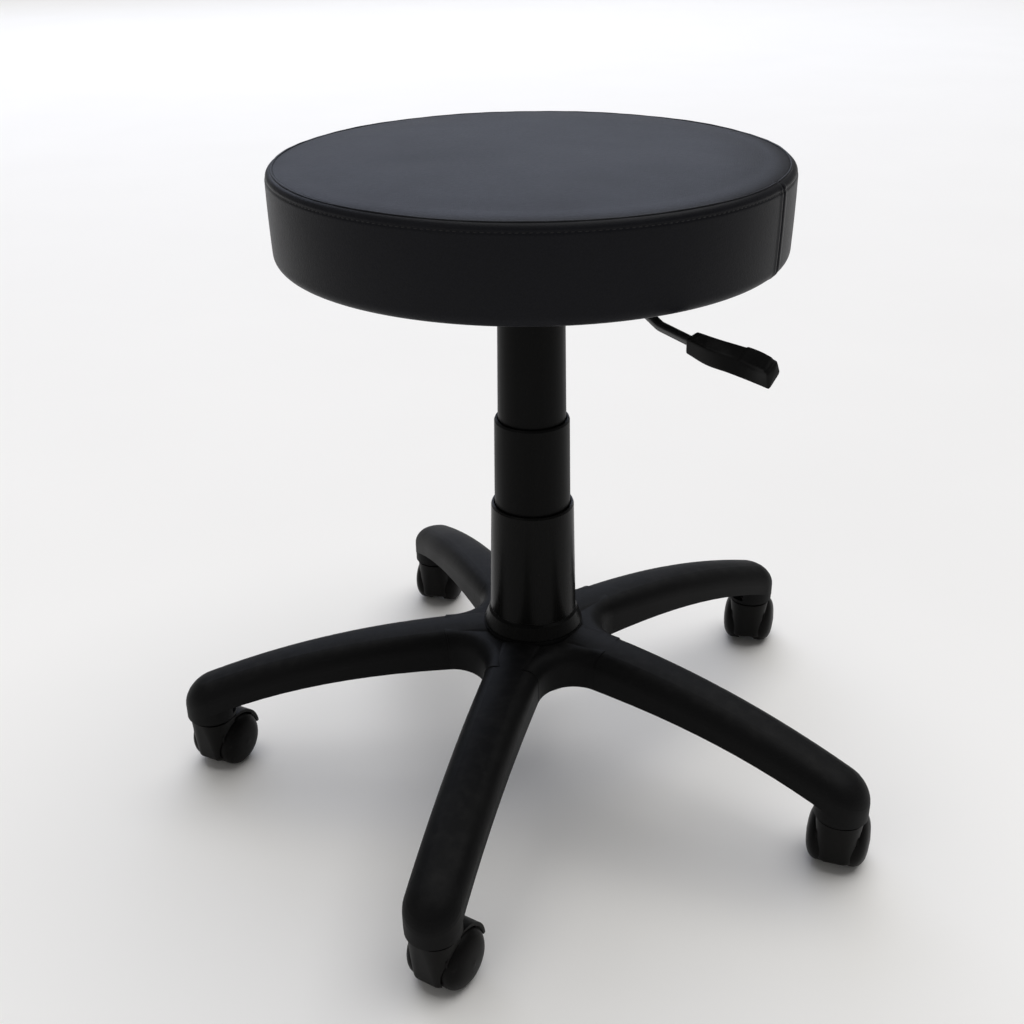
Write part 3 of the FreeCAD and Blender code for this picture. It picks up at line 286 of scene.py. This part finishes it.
def surface(name, points, material, body, wrap=(False, True), caps=(False, False)):
    """A mesh from a grid of points, rows by columns. It may wrap round along the rows and the columns,
    and a cap closes the first or last row with a fan about its middle."""
    rows, columns = points.shape[:2]
    number = np.arange(rows * columns).reshape(rows, columns)
    if wrap[1]:
        number = np.hstack([number, number[:, :1]])
    if wrap[0]:
        number = np.vstack([number, number[:1]])
    quads = np.stack([number[:-1, :-1], number[:-1, 1:], number[1:, 1:], number[1:, :-1]], -1)
    quads = quads.reshape(-1, 4)
    places = [points.reshape(-1, 3)]
    loops = [quads.reshape(-1)]
    sizes = [np.full(len(quads), 4)]
    for row, closed, turn in ((0, caps[0], -1), (-1, caps[1], 1)):
        if closed:
            middle = sum(len(part) for part in places)
            places.append(points[row].mean(0, keepdims=True))
            first, second = number[row, :-1], number[row, 1:]
            fan = np.stack([first, second, np.full(len(first), middle)], -1)[:, ::turn]
            loops.append(fan.reshape(-1))
            sizes.append(np.full(len(fan), 3))
    places, loops, sizes = np.concatenate(places), np.concatenate(loops), np.concatenate(sizes)
    starts = np.concatenate([[0], np.cumsum(sizes)[:-1]])
    mesh = bpy.data.meshes.new(name)
    mesh.vertices.add(len(places))
    mesh.vertices.foreach_set("co", places.astype(np.float32).reshape(-1))
    mesh.loops.add(len(loops))
    mesh.loops.foreach_set("vertex_index", loops.astype(np.int32))
    mesh.polygons.add(len(sizes))
    mesh.polygons.foreach_set("loop_start", starts.astype(np.int32))
    mesh.polygons.foreach_set("use_smooth", np.ones(len(sizes), bool))
    mesh.update(calc_edges=True)
    mesh.validate()
    mesh.materials.append(material)
    piece = bpy.data.objects.new(name, mesh)
    bpy.context.scene.collection.objects.link(piece)
    if body:
        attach(piece, body)
    return piece


def smooth_steps(share, knots, values):
    """Sections at shares of a length: a cubic from each knot to the next, one power of the share for each
    of its four terms, that meets its neighbours with the slope of the values about the knot."""
    index = np.clip(np.searchsorted(knots, share, side="right") - 1, 0, len(knots) - 2)
    slopes = np.gradient(values, knots, axis=0)
    width = knots[index + 1] - knots[index]
    t = ((share - knots[index]) / width)[:, None, None]
    width = width[:, None, None]
    return ((2 * t**3 - 3 * t**2 + 1) * values[index] + (t**3 - 2 * t**2 + t) * width * slopes[index]
            + (3 * t**2 - 2 * t**3) * values[index + 1] + (t**3 - t**2) * width * slopes[index + 1])


def paddle(near, far, rod_height, azimuth):
    """The lever's paddle. Each section is a four-cornered outline filled by a rounded square, whose two
    shares are the cosine and sine of the turn to a small power; the sections ease from one to the next
    along the length. Its top is dished by one less the square of the distance from the dish's middle, and
    stands up in a pad at the end."""
    shares = np.array([0.0, 0.3, 0.55, 0.78, 1.0])
    corners = np.array([
        [(-4.6, -6.2), (-4.6, 4.4), (5.2, 7.4), (6.2, -5.0)],
        [(-5.2, -8.6), (-4.6, 3.8), (5.8, 8.6), (7.8, -5.4)],
        [(-3.4, -8.8), (0.4, 1.6), (7.0, 9.0), (10.4, -3.0)],
        [(0.4, -10.4), (2.0, -0.8), (9.2, 8.4), (12.4, -1.6)],
        [(2.4, -11.4), (-0.4, 0.2), (7.6, 7.4), (11.2, -1.2)]]) / 1000
    end = 0.015
    along = np.concatenate([[0.0, 0.002, 0.007, end], np.linspace(0.03, 0.97, 70),
                            [1 - end, 0.993, 0.998, 1.0]])
    section = smooth_steps(along, shares, corners)
    turn = np.linspace(0, 2 * math.pi, 72, endpoint=False)
    squareness = 0.28
    across = 0.5 + 0.5 * np.sign(np.cos(turn)) * np.abs(np.cos(turn)) ** squareness
    upward = 0.5 + 0.5 * np.sign(np.sin(turn)) * np.abs(np.sin(turn)) ** squareness
    end_rounding = 0.16
    shrink = 1 - end_rounding * np.clip(1 - np.minimum(along, 1 - along) / end, 0, 1) ** 2
    across = 0.5 + (across[None] - 0.5) * shrink[:, None]
    upward = 0.5 + (upward[None] - 0.5) * shrink[:, None]
    below = section[:, None, 0] * (1 - across[..., None]) + section[:, None, 3] * across[..., None]
    above = section[:, None, 1] * (1 - across[..., None]) + section[:, None, 2] * across[..., None]
    outline = below * (1 - upward[..., None]) + above * upward[..., None]
    top = np.clip((upward - 0.8) / 0.2, 0, 1)
    dish_middle, dish_half, dish_depth = 0.36, 0.27, 0.0016
    dish = np.clip(1 - ((along - dish_middle) / dish_half) ** 2, 0, 1)[:, None]
    dish = dish * np.clip(1 - (2 * across - 1) ** 4, 0, 1)
    pad_start, pad_stop, pad_edge, pad_height = 0.62, 0.95, 0.012, 0.0011
    pad = np.clip((along - pad_start) / pad_edge, 0, 1) * np.clip((pad_stop - along) / pad_edge, 0, 1)
    pad = pad[:, None] * np.clip((0.46 - np.abs(across - 0.5)) / 0.05, 0, 1)
    rise = top * (pad * pad_height - dish * dish_depth)
    reach = near + along * (far - near)
    points = np.stack([np.broadcast_to(reach[:, None], rise.shape), outline[..., 0],
                       rod_height + outline[..., 1] + rise], -1)
    turned = Matrix.Rotation(math.radians(azimuth), 3, "Z")
    return points @ np.array(turned).T


lever_azimuth = -55.0
paddle_length = 0.070
paddle_far = 0.2505
paddle_depth = 0.0114
rod_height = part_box("lever_handle")[0].z + paddle_depth
paddle_points = paddle(paddle_far - paddle_length, paddle_far, rod_height, lever_azimuth)
handle_plastic = moulded("handle_plastic", (0.0042, 0.0042, 0.0042), 0.42, 1500.0, 0.00007, 0.1, 0.03)
handle = surface("lever_paddle", paddle_points, handle_plastic, "lever", caps=(True, True))
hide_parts("lever_handle")


# ---- Seat pad ----------------------------------------------------------------------------------
# A foam pad on a plywood board under black vinyl: a round top panel and a boxing band.
# The vinyl is pulled round the board and stapled underneath; the band's ends meet in an upright seam.

def vinyl_finish():
    """Black upholstery vinyl: pebbled grain of small cells, soft mottling and fine creases."""
    finish = Finish("black_vinyl", Specular_IOR_Level=0.08)
    pebbles = finish.cells(950.0)
    fine = finish.noise(2400.0, 2.0)
    mottle = finish.noise(14.0, 5.0)
    creases = finish.noise(320.0, 4.0)
    tone = finish.mix(mottle, (0.0075, 0.0077, 0.0098), (0.0115, 0.0118, 0.0146))
    tone = finish.mix(finish.ramp(pebbles, 0.1, 0.7) * 0.3, tone, (0.003, 0.003, 0.0035))
    gloss = 0.42 + (mottle - 0.5) * 0.12 + (creases - 0.5) * 0.08
    return finish.look(tone, gloss, (1.0 - pebbles) * 0.7 + fine * 0.2 + creases * 0.5, 0.00016, 0.75)


vinyl = vinyl_finish()
band_low, band_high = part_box("seat_band")
board_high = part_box("seat_board")[1]
seat_radius = band_high.x
seat_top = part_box("seat_top_panel")[1].z
seat_bottom = band_low.z
board_radius = board_high.x
seam_reach = seat_radius - 0.0050
seam_height = seat_top - 0.0030
roll_height = 0.0068
stitch_height = seam_height - 0.0052
fold_reach = 0.158
seam_azimuth = math.radians(-28.5)


def pad_profile():
    """The pad's outline from the middle of the top, over the seam and down the band, under the board's
    edge and back round the board to the middle. It gives radius, height and how far the padding may swell,
    from 0 at a seam or staple line to 1 in the middle of a panel.

    The top falls by the square of its share of the radius and, near the seam, by a power of the distance
    into the roll. A quarter ellipse carries the band away from the seam, and a quarter circle turns it
    under."""
    share = np.concatenate([np.linspace(0, 0.9, 26)[:-1], np.linspace(0.9, 1.0, 20)])
    top_r = share * (seam_reach - 0.0009)
    roll_width, crown_fall, roll_fall = 0.016, 0.0008, 0.0019
    roll = np.clip((top_r - seam_reach + roll_width) / roll_width, 0, 1)
    top_z = seat_top - 0.0004 - crown_fall * share**2 - roll_fall * roll**2.4
    groove_r = [seam_reach - 0.0005, seam_reach + 0.0004]
    groove_z = [seam_height - 0.0012, seam_height - 0.0014]
    turn = np.linspace(0.08, math.pi / 2, 22)
    band_r = seam_reach + (seat_radius - seam_reach) * np.sin(turn)
    band_z = seam_height - roll_height * (1 - np.cos(turn))
    corner = 0.0085
    floor_z = seat_bottom + corner
    stitched = 0.004
    side_z = np.concatenate([np.linspace(band_z[-1], band_z[-1] - stitched, 9)[1:],
                             np.linspace(band_z[-1] - stitched, floor_z, 22)[1:-1]])
    down = (band_z[-1] - side_z) / (band_z[-1] - floor_z)
    taper = 0.0009
    side_r = seat_radius - taper * down**2
    dip_depth, dip_width = 0.00045, 0.0010
    above_stitch = np.concatenate([band_z, side_z]) - stitch_height
    dip = dip_depth * np.exp(-((above_stitch / dip_width) ** 2))
    band_r, side_r = band_r - dip[: len(band_r)], side_r - dip[len(band_r):]
    bend = np.linspace(0, math.pi / 2, 12)
    low_r = seat_radius - taper - corner + corner * np.cos(bend)
    low_z = floor_z - corner * np.sin(bend)
    under_r = np.linspace(low_r[-1], fold_reach, 10)[1:]
    under_z = np.full(len(under_r), seat_bottom)
    gap = 0.0003
    skin = 0.0014
    board_reach, board_top = board_radius + gap, board_high.z + gap
    skin_top = seat_bottom + skin - gap
    inside = np.array([(fold_reach, skin_top), (board_reach, skin_top),
                       (board_reach, board_top), (board_radius * 0.6, board_top)])
    radius = np.concatenate([top_r, groove_r, band_r, side_r, low_r, under_r, inside[:, 0]])
    height = np.concatenate([top_z, groove_z, band_z, side_z, low_z, under_z, inside[:, 1]])
    swell = np.concatenate([
        np.clip((seam_reach - top_r) / 0.03, 0, 1) ** 0.8, [0, 0], np.zeros(len(band_r)),
        np.sin(math.pi * np.clip(down, 0, 1)) ** 0.8,
        np.zeros(len(low_r) + len(under_r) + len(inside))])
    return radius, height, swell


def inflate(radius, height, sectors):
    """How far a sewn pad of this outline swells, as radial and upward moves at each profile point and at
    sectors round it: a remeshed copy is blown up by cloth simulation, and each move is the average of the
    copy's moves near the point, weighted by a Gaussian of the distance and of the angle to the sector.
    The moves are limited by a hyperbolic tangent of their length."""
    inside_points = 4
    turn = np.linspace(0, 2 * math.pi, 96, endpoint=False)
    outline = np.stack([radius[1:-inside_points], height[1:-inside_points]], -1)
    ring = outline[:, None, :1] * np.stack([np.cos(turn), np.sin(turn)], -1)[None]
    points = np.concatenate([ring, np.broadcast_to(outline[:, None, 1:], ring.shape[:2] + (1,))], -1)
    copy = surface("pad_copy", points, vinyl, None, caps=(True, True))
    scene = bpy.context.scene
    bpy.context.view_layer.objects.active = copy
    copy.select_set(True)
    remesh = copy.modifiers.new("even", "REMESH")
    remesh.mode = "VOXEL"
    remesh.voxel_size = 0.006
    bpy.ops.object.modifier_apply(modifier=remesh.name)
    before = np.zeros(len(copy.data.vertices) * 3, np.float32)
    copy.data.vertices.foreach_get("co", before)
    before = before.reshape(-1, 3)
    group = copy.vertex_groups.new(name="sewn")
    reach = np.hypot(before[:, 0], before[:, 1])
    underside = before[:, 2] < seat_bottom + 0.004
    seam = np.hypot(reach - seam_reach, before[:, 2] - seam_height) < 0.007
    group.add(np.nonzero(underside | seam)[0].tolist(), 1.0, "REPLACE")
    cloth = copy.modifiers.new("vinyl", "CLOTH")
    cloth.settings.use_pressure = True
    cloth.settings.uniform_pressure_force = 4.0
    cloth.settings.vertex_group_mass = group.name
    cloth.settings.effector_weights.gravity = 0.0
    cloth.settings.quality = 6
    last_step = 20
    cloth.point_cache.frame_start = 1
    cloth.point_cache.frame_end = last_step
    for step in range(1, last_step + 1):
        scene.frame_set(step)
    blown = copy.evaluated_get(bpy.context.evaluated_depsgraph_get()).to_mesh()
    after = np.zeros(len(blown.vertices) * 3, np.float32)
    blown.vertices.foreach_get("co", after)
    move = after.reshape(-1, 3) - before
    bpy.data.objects.remove(copy)
    scene.frame_set(1)
    cap = 0.0030
    length = np.linalg.norm(move, axis=1, keepdims=True)
    move = move * (cap * np.tanh(length / cap) / np.maximum(length, 1e-9))
    outward = before[:, :2] / np.maximum(reach, 1e-6)[:, None]
    radial = (move[:, :2] * outward).sum(1)
    azimuth = np.arctan2(before[:, 1], before[:, 0])
    spread, angle_spread = 0.009, 0.45
    apart_squared = (radius[:, None] - reach) ** 2 + (height[:, None] - before[:, 2]) ** 2
    near = np.exp(-(apart_squared / spread**2))
    out = np.zeros((len(radius), sectors, 2))
    for sector in range(sectors):
        middle = 2 * math.pi * sector / sectors
        apart = np.angle(np.exp(1j * (azimuth - middle)))
        weight = near * (np.exp(-((apart / angle_spread) ** 2)) + 0.02)
        total = weight.sum(1) + 1e-12
        out[:, sector, 0] = (weight * radial).sum(1) / total
        out[:, sector, 1] = (weight * move[:, 2]).sum(1) / total
    return out


def pad_surface():
    """The pad: the outline turned about the column, swollen by the simulation, with an upright seam in
    the band and gathers under the board.

    The seam is a narrow Gaussian groove between two low Gaussian ridges; the gathers are a cosine of many
    times the azimuth, whose phase wanders by a slow sine."""
    radius, height, swell = pad_profile()
    seam_part = 0.05
    dense = seam_azimuth + np.linspace(-seam_part, seam_part, 33)
    wide = seam_azimuth + np.linspace(seam_part, 2 * math.pi - seam_part, 240)[1:-1]
    turn = np.concatenate([dense, wide])
    sectors = 24
    moves = inflate(radius, height, sectors)
    share = (turn / (2 * math.pi) % 1.0) * sectors
    first = np.floor(share).astype(int) % sectors
    second = (first + 1) % sectors
    part = (share - np.floor(share))[None, :, None]
    part = part * part * (3 - 2 * part)
    field = (moves[:, first] * (1 - part) + moves[:, second] * part) * swell[:, None, None]
    apart = np.angle(np.exp(1j * (turn - seam_azimuth))) * seat_radius
    on_band = np.clip((seam_height - height) / 0.003, 0, 1) * np.clip((height - seat_bottom) / 0.002, 0, 1)
    on_band = on_band * (radius > board_radius + 0.001)
    groove_depth, groove_width = 0.0010, 0.0010
    ridge_height, ridge_place, ridge_width = 0.0006, 0.0032, 0.0024
    seam = (-groove_depth * np.exp(-((apart / groove_width) ** 2))
            + ridge_height * np.exp(-(((np.abs(apart) - ridge_place) / ridge_width) ** 2)))
    reach = radius[:, None] + field[..., 0] + on_band[:, None] * seam[None]
    under = (height < seat_bottom + 0.0004) & (radius > fold_reach + 0.012) & (radius < seat_radius - 0.006)
    gather_height, gather_count = 0.00035, 67
    gathers = gather_height * (1 + np.cos(gather_count * turn + 1.2 * np.sin(5 * turn)))
    lift = field[..., 1] + under[:, None] * gathers[None]
    points = np.stack([reach * np.cos(turn), reach * np.sin(turn), height[:, None] + lift], -1)
    points[0, :, :2] = 0
    return points[1:], turn


pad_points, pad_turn = pad_surface()
pad = surface("seat_pad", pad_points, vinyl, "seat", caps=(True, True))
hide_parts("seat_foam", "seat_top_panel", "seat_band")


# ---- Piping and topstitching -------------------------------------------------------------------
# A vinyl-covered welt cord is sewn into the seam between the top panel and the band.
# A row of topstitching in dark thread runs round the band just below it.

def welt():
    """The welt: a circle carried round the seam, made uneven by low sines of the azimuth and pinched at
    its join by a Gaussian."""
    join_part = 0.03
    wide = np.linspace(join_part, 2 * math.pi - join_part, 400)[1:-1]
    turn = seam_azimuth + np.concatenate([np.linspace(-join_part, join_part, 25), wide])
    apart = np.angle(np.exp(1j * (turn - seam_azimuth))) * seat_radius
    pinch = 1 - 0.6 * np.exp(-((apart / 0.0016) ** 2))
    section = np.linspace(0, 2 * math.pi, 14, endpoint=False)[:, None]
    welt_radius, sunk = 0.0011, 0.0003
    thick = welt_radius * (1 + 0.04 * np.sin(9 * turn) + 0.05 * np.sin(47 * turn + 1.0)) * pinch
    reach = seam_reach + 0.00015 * np.sin(7 * turn) + thick * np.cos(section)
    height = seam_height - sunk + 0.00012 * np.sin(11 * turn) + thick * np.sin(section)
    return np.stack([reach * np.cos(turn), reach * np.sin(turn), height], -1).transpose(1, 0, 2)


piping = surface("seat_welt", welt(), vinyl, "seat", wrap=(True, True))
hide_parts("seat_piping")


def thread_finish():
    """Dark spun polyester thread: fine twist and a dull sheen."""
    finish = Finish("stitch_thread", Sheen_Weight=0.08, Specular_IOR_Level=0.2)
    twist = finish.noise(2600.0, 2.0)
    tone = finish.mix(twist, (0.006, 0.006, 0.0065), (0.02, 0.02, 0.021))
    return finish.look(tone, 0.62 + (twist - 0.5) * 0.2, twist, 0.00008, 0.8)


def stitches():
    """Short stitches: each is a half-sunk bean, an ellipse along its length and a circle across, laid on
    the pad's surface at one height and stepped evenly round it."""
    pitch, length, thickness, tilt, sunk = 0.0042, 0.0030, 0.00036, 0.0001, 0.0001
    count = int(2 * math.pi * seat_radius / pitch)
    middle = 2 * math.pi * np.arange(count) / count
    pad_reach = np.hypot(pad_points[..., 0], pad_points[..., 1])
    inside_seam = pad_reach[:, 0] < seam_reach
    off = np.abs(pad_points[:, 0, 2] - stitch_height) + inside_seam
    row = int(np.argmin(off))
    azimuth = pad_turn % (2 * math.pi)
    order = np.argsort(azimuth)
    reach_at = np.interp(middle, azimuth[order], pad_reach[row, order], period=2 * math.pi)
    height_at = np.interp(middle, azimuth[order], pad_points[row, order, 2], period=2 * math.pi)
    along = np.linspace(-1, 1, 6)
    around = np.linspace(0, 2 * math.pi, 6, endpoint=False)
    bulge = thickness * np.sqrt(np.clip(1.02 - along**2, 0, 1))
    angle = middle[:, None, None] + (along * length / 2 / seat_radius)[None, :, None]
    reach = reach_at[:, None, None] + (bulge[:, None] * np.cos(around))[None] - sunk
    height = height_at[:, None, None] + (bulge[:, None] * np.sin(around))[None]
    height = height + tilt * along[None, :, None]
    return np.stack([reach * np.cos(angle), reach * np.sin(angle), height], -1)


def beads(name, points, material, body):
    """One mesh of many separate closed beads, each a grid of rings by points with its end rings capped."""
    count, rings, around = points.shape[:3]
    number = np.arange(rings * around).reshape(rings, around)
    wrapped = np.hstack([number, number[:, :1]])
    quads = np.stack([wrapped[:-1, :-1], wrapped[:-1, 1:], wrapped[1:, 1:], wrapped[1:, :-1]], -1)
    shift = np.arange(count) * rings * around
    faces = (quads.reshape(1, -1, 4) + shift[:, None, None]).reshape(-1, 4).tolist()
    for end in (number[0][::-1], number[-1]):
        faces += (end[None] + shift[:, None]).tolist()
    mesh = bpy.data.meshes.new(name)
    mesh.from_pydata(points.reshape(-1, 3).tolist(), [], faces)
    mesh.polygons.foreach_set("use_smooth", np.ones(len(mesh.polygons), bool))
    mesh.materials.append(material)
    piece = bpy.data.objects.new(name, mesh)
    bpy.context.scene.collection.objects.link(piece)
    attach(piece, body)
    return piece


beads("band_topstitch", stitches(), thread_finish(), "seat")


# ---- Board and dust cloth ----------------------------------------------------------------------
# A round plywood board carries the pad; black non-woven cloth closes the underside.
# The cloth is stapled over the vinyl's raw edge and sags a little between the plate and the staples.

def plywood():
    """Birch plywood: long grain on the faces and thin plies, stacked in height, at the edge."""
    finish = Finish("birch_plywood", Specular_IOR_Level=0.25)
    grain = finish.noise(38.0, 8.0, (1.0, 14.0, 1.0))
    plies = finish.node("ShaderNodeTexWave", {"bands_direction": "Z"},
                        {"Vector": finish.place(), "Scale": 110.0, "Distortion": 0.6})
    tone = finish.mix(grain, (0.42, 0.27, 0.14), (0.66, 0.49, 0.29))
    tone = finish.mix(plies * 0.3, tone, (0.3, 0.18, 0.09))
    return finish.look(tone, 0.6 + (grain - 0.5) * 0.2, grain, 0.0002, 0.6)


def non_woven():
    """Spun-bonded cloth: pressed dots over a felt of fine fibres."""
    finish = Finish("non_woven_cloth", Sheen_Weight=0.15, Specular_IOR_Level=0.2)
    fibres = finish.noise(1500.0, 5.0, (1.0, 3.0, 1.0))
    dots = finish.ramp(finish.cells(620.0), 0.18, 0.3)
    tone = finish.mix(fibres, (0.01, 0.01, 0.01), (0.03, 0.03, 0.03))
    tone = finish.mix(dots * 0.4, tone, (0.008, 0.008, 0.008))
    return finish.look(tone, 0.75 + (fibres - 0.5) * 0.2, fibres * 0.5 + dots * 0.5, 0.00015, 0.7)


def cut_foam():
    """Open-cell seating foam, which the vinyl hides."""
    finish = Finish("seat_foam_cells", Specular_IOR_Level=0.2)
    holes = finish.cells(700.0)
    tone = finish.mix(holes, (0.45, 0.4, 0.26), (0.78, 0.72, 0.5))
    return finish.look(tone, 0.85 + (holes - 0.5) * 0.1, holes, 0.0004, 0.8)


wear(["seat_board"], plywood())
cloth_finish = non_woven()
wear(["seat_foam"], cut_foam())
wear(["seat_top_panel", "seat_band", "seat_piping"], vinyl)
wear(["dust_cover"], cloth_finish)
wear(["lever_handle"], handle_plastic)


def cloth_disc(reach, top, inner):
    """The dust cloth: a thin ring of two faces, held flat at the plate and at the staples; between
    them it hangs by a sine of the radius, with shallow pulls towards each staple."""
    staples, staple_azimuth = 24, math.radians(-5)
    thick, sag, pull_depth = 0.0005, 0.0012, 0.0004
    turn = np.linspace(0, 2 * math.pi, 192, endpoint=False)
    share = np.linspace(0, 1, 28)
    radius = inner + (reach - inner) * share
    staple = reach - 0.008
    across = np.clip((radius - inner) / (staple - inner), 0, 1)
    hang = np.where(radius < staple, np.sin(math.pi * across), 0)
    pull = np.clip((radius - 0.6 * reach) / (0.4 * reach), 0, 1) * (radius < staple)
    between = (1 - np.cos(staples * (turn - staple_azimuth))) / 2
    drop = sag * hang[:, None] * (1 + 0.25 * np.cos(3 * turn)[None])
    drop = drop + pull_depth * pull[:, None] * between[None]
    lower = np.stack([radius[:, None] * np.cos(turn), radius[:, None] * np.sin(turn), top - thick - drop], -1)
    upper = lower + np.array([0, 0, thick])
    return np.concatenate([lower[::-1], upper])


cloth_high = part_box("dust_cover")[1]
cloth_hole = 0.02
cloth_points = cloth_disc(cloth_high.x, cloth_high.z, cloth_hole)
cloth = surface("dust_cloth", cloth_points, cloth_finish, "seat", wrap=(True, True))
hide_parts("dust_cover")


# ---- Floor, light and camera -------------------------------------------------------------------
# A pale studio floor, a broad cool softbox behind the seat, a weak front fill and a wide overhead sun.

def pale_floor():
    """Matt pale floor, faintly mottled."""
    finish = Finish("pale_floor", Specular_IOR_Level=0.1)
    mottle = finish.noise(3.0)
    tone = finish.mix(mottle, (0.9, 0.885, 0.86), (0.93, 0.915, 0.89))
    return finish.look(tone, 0.8 + (mottle - 0.5) * 0.05)


extent = 20.0
edges = np.linspace(-extent, extent, 2)
floor_points = np.stack(np.meshgrid(edges, edges[::-1], [0.0], indexing="ij"), -1)[:, :, 0]
floor = surface("studio_floor", floor_points[:, ::-1], pale_floor(), None, wrap=(False, False))

bpy.context.scene.view_settings.view_transform = "Standard"
world = bpy.data.worlds.new("studio")
bpy.context.scene.world = world
world.use_nodes = True
air = world.node_tree
ambient = air.nodes["Background"]
ambient.inputs["Color"].default_value = (1.0, 1.0, 1.0, 1.0)
ambient.inputs["Strength"].default_value = 0.2
backdrop = air.nodes.new("ShaderNodeBackground")
backdrop.inputs["Color"].default_value = (0.82, 0.82, 0.82, 1.0)
seen = air.nodes.new("ShaderNodeLightPath")
choice = air.nodes.new("ShaderNodeMixShader")
air.links.new(seen.outputs["Is Camera Ray"], choice.inputs[0])
air.links.new(ambient.outputs[0], choice.inputs[1])
air.links.new(backdrop.outputs[0], choice.inputs[2])
air.links.new(choice.outputs[0], air.nodes["World Output"].inputs["Surface"])


def soft_light(name, place, target, size, power, colour):
    """A rectangular area light at a place, facing a target."""
    lamp = bpy.data.lights.new(name, "AREA")
    lamp.shape = "RECTANGLE"
    lamp.size, lamp.size_y = size
    lamp.energy = power
    lamp.color = colour
    holder = bpy.data.objects.new(name, lamp)
    bpy.context.scene.collection.objects.link(holder)
    holder.location = place
    holder.rotation_euler = (Vector(target) - Vector(place)).to_track_quat("-Z", "Y").to_euler()


cool, warm = (0.72, 0.79, 1.0), (1.0, 0.98, 0.96)
soft_light("back_softbox", (-1.4, 6.2, 3.9), (0.0, 0.0, 0.45), (7.0, 3.5), 135.0, cool)
soft_light("front_fill", (-1.6, -1.8, 1.6), (0.0, 0.0, 0.3), (1.4, 1.4), 3.0, warm)
sky = bpy.data.lights.new("overhead", "SUN")
sky.energy = 2.15
sky.angle = 1.2
overhead = bpy.data.objects.new("overhead", sky)
bpy.context.scene.collection.objects.link(overhead)
overhead.rotation_euler = (math.radians(-12), math.radians(8), 0.0)

eye = Vector((0.0, -0.94438, 0.72254))
heading, tilt, roll = -0.0179, 0.4704, -0.0145
ahead = Vector((math.sin(heading) * math.cos(tilt), math.cos(heading) * math.cos(tilt), -math.sin(tilt)))
right = Vector((math.cos(heading), -math.sin(heading), 0.0))
upward = right.cross(ahead)
across = right * math.cos(roll) + upward * math.sin(roll)
upright = upward * math.cos(roll) - right * math.sin(roll)
camera = bpy.data.cameras.new("camera")
camera.lens = 45.31
camera.sensor_width = 36.0
camera_holder = bpy.data.objects.new("camera", camera)
bpy.context.scene.collection.objects.link(camera_holder)
facing = Matrix((across, upright, -ahead)).transposed().to_4x4()
camera_holder.matrix_world = Matrix.Translation(eye) @ facing
bpy.context.scene.camera = camera_holder

bpy.context.view_layer.update()
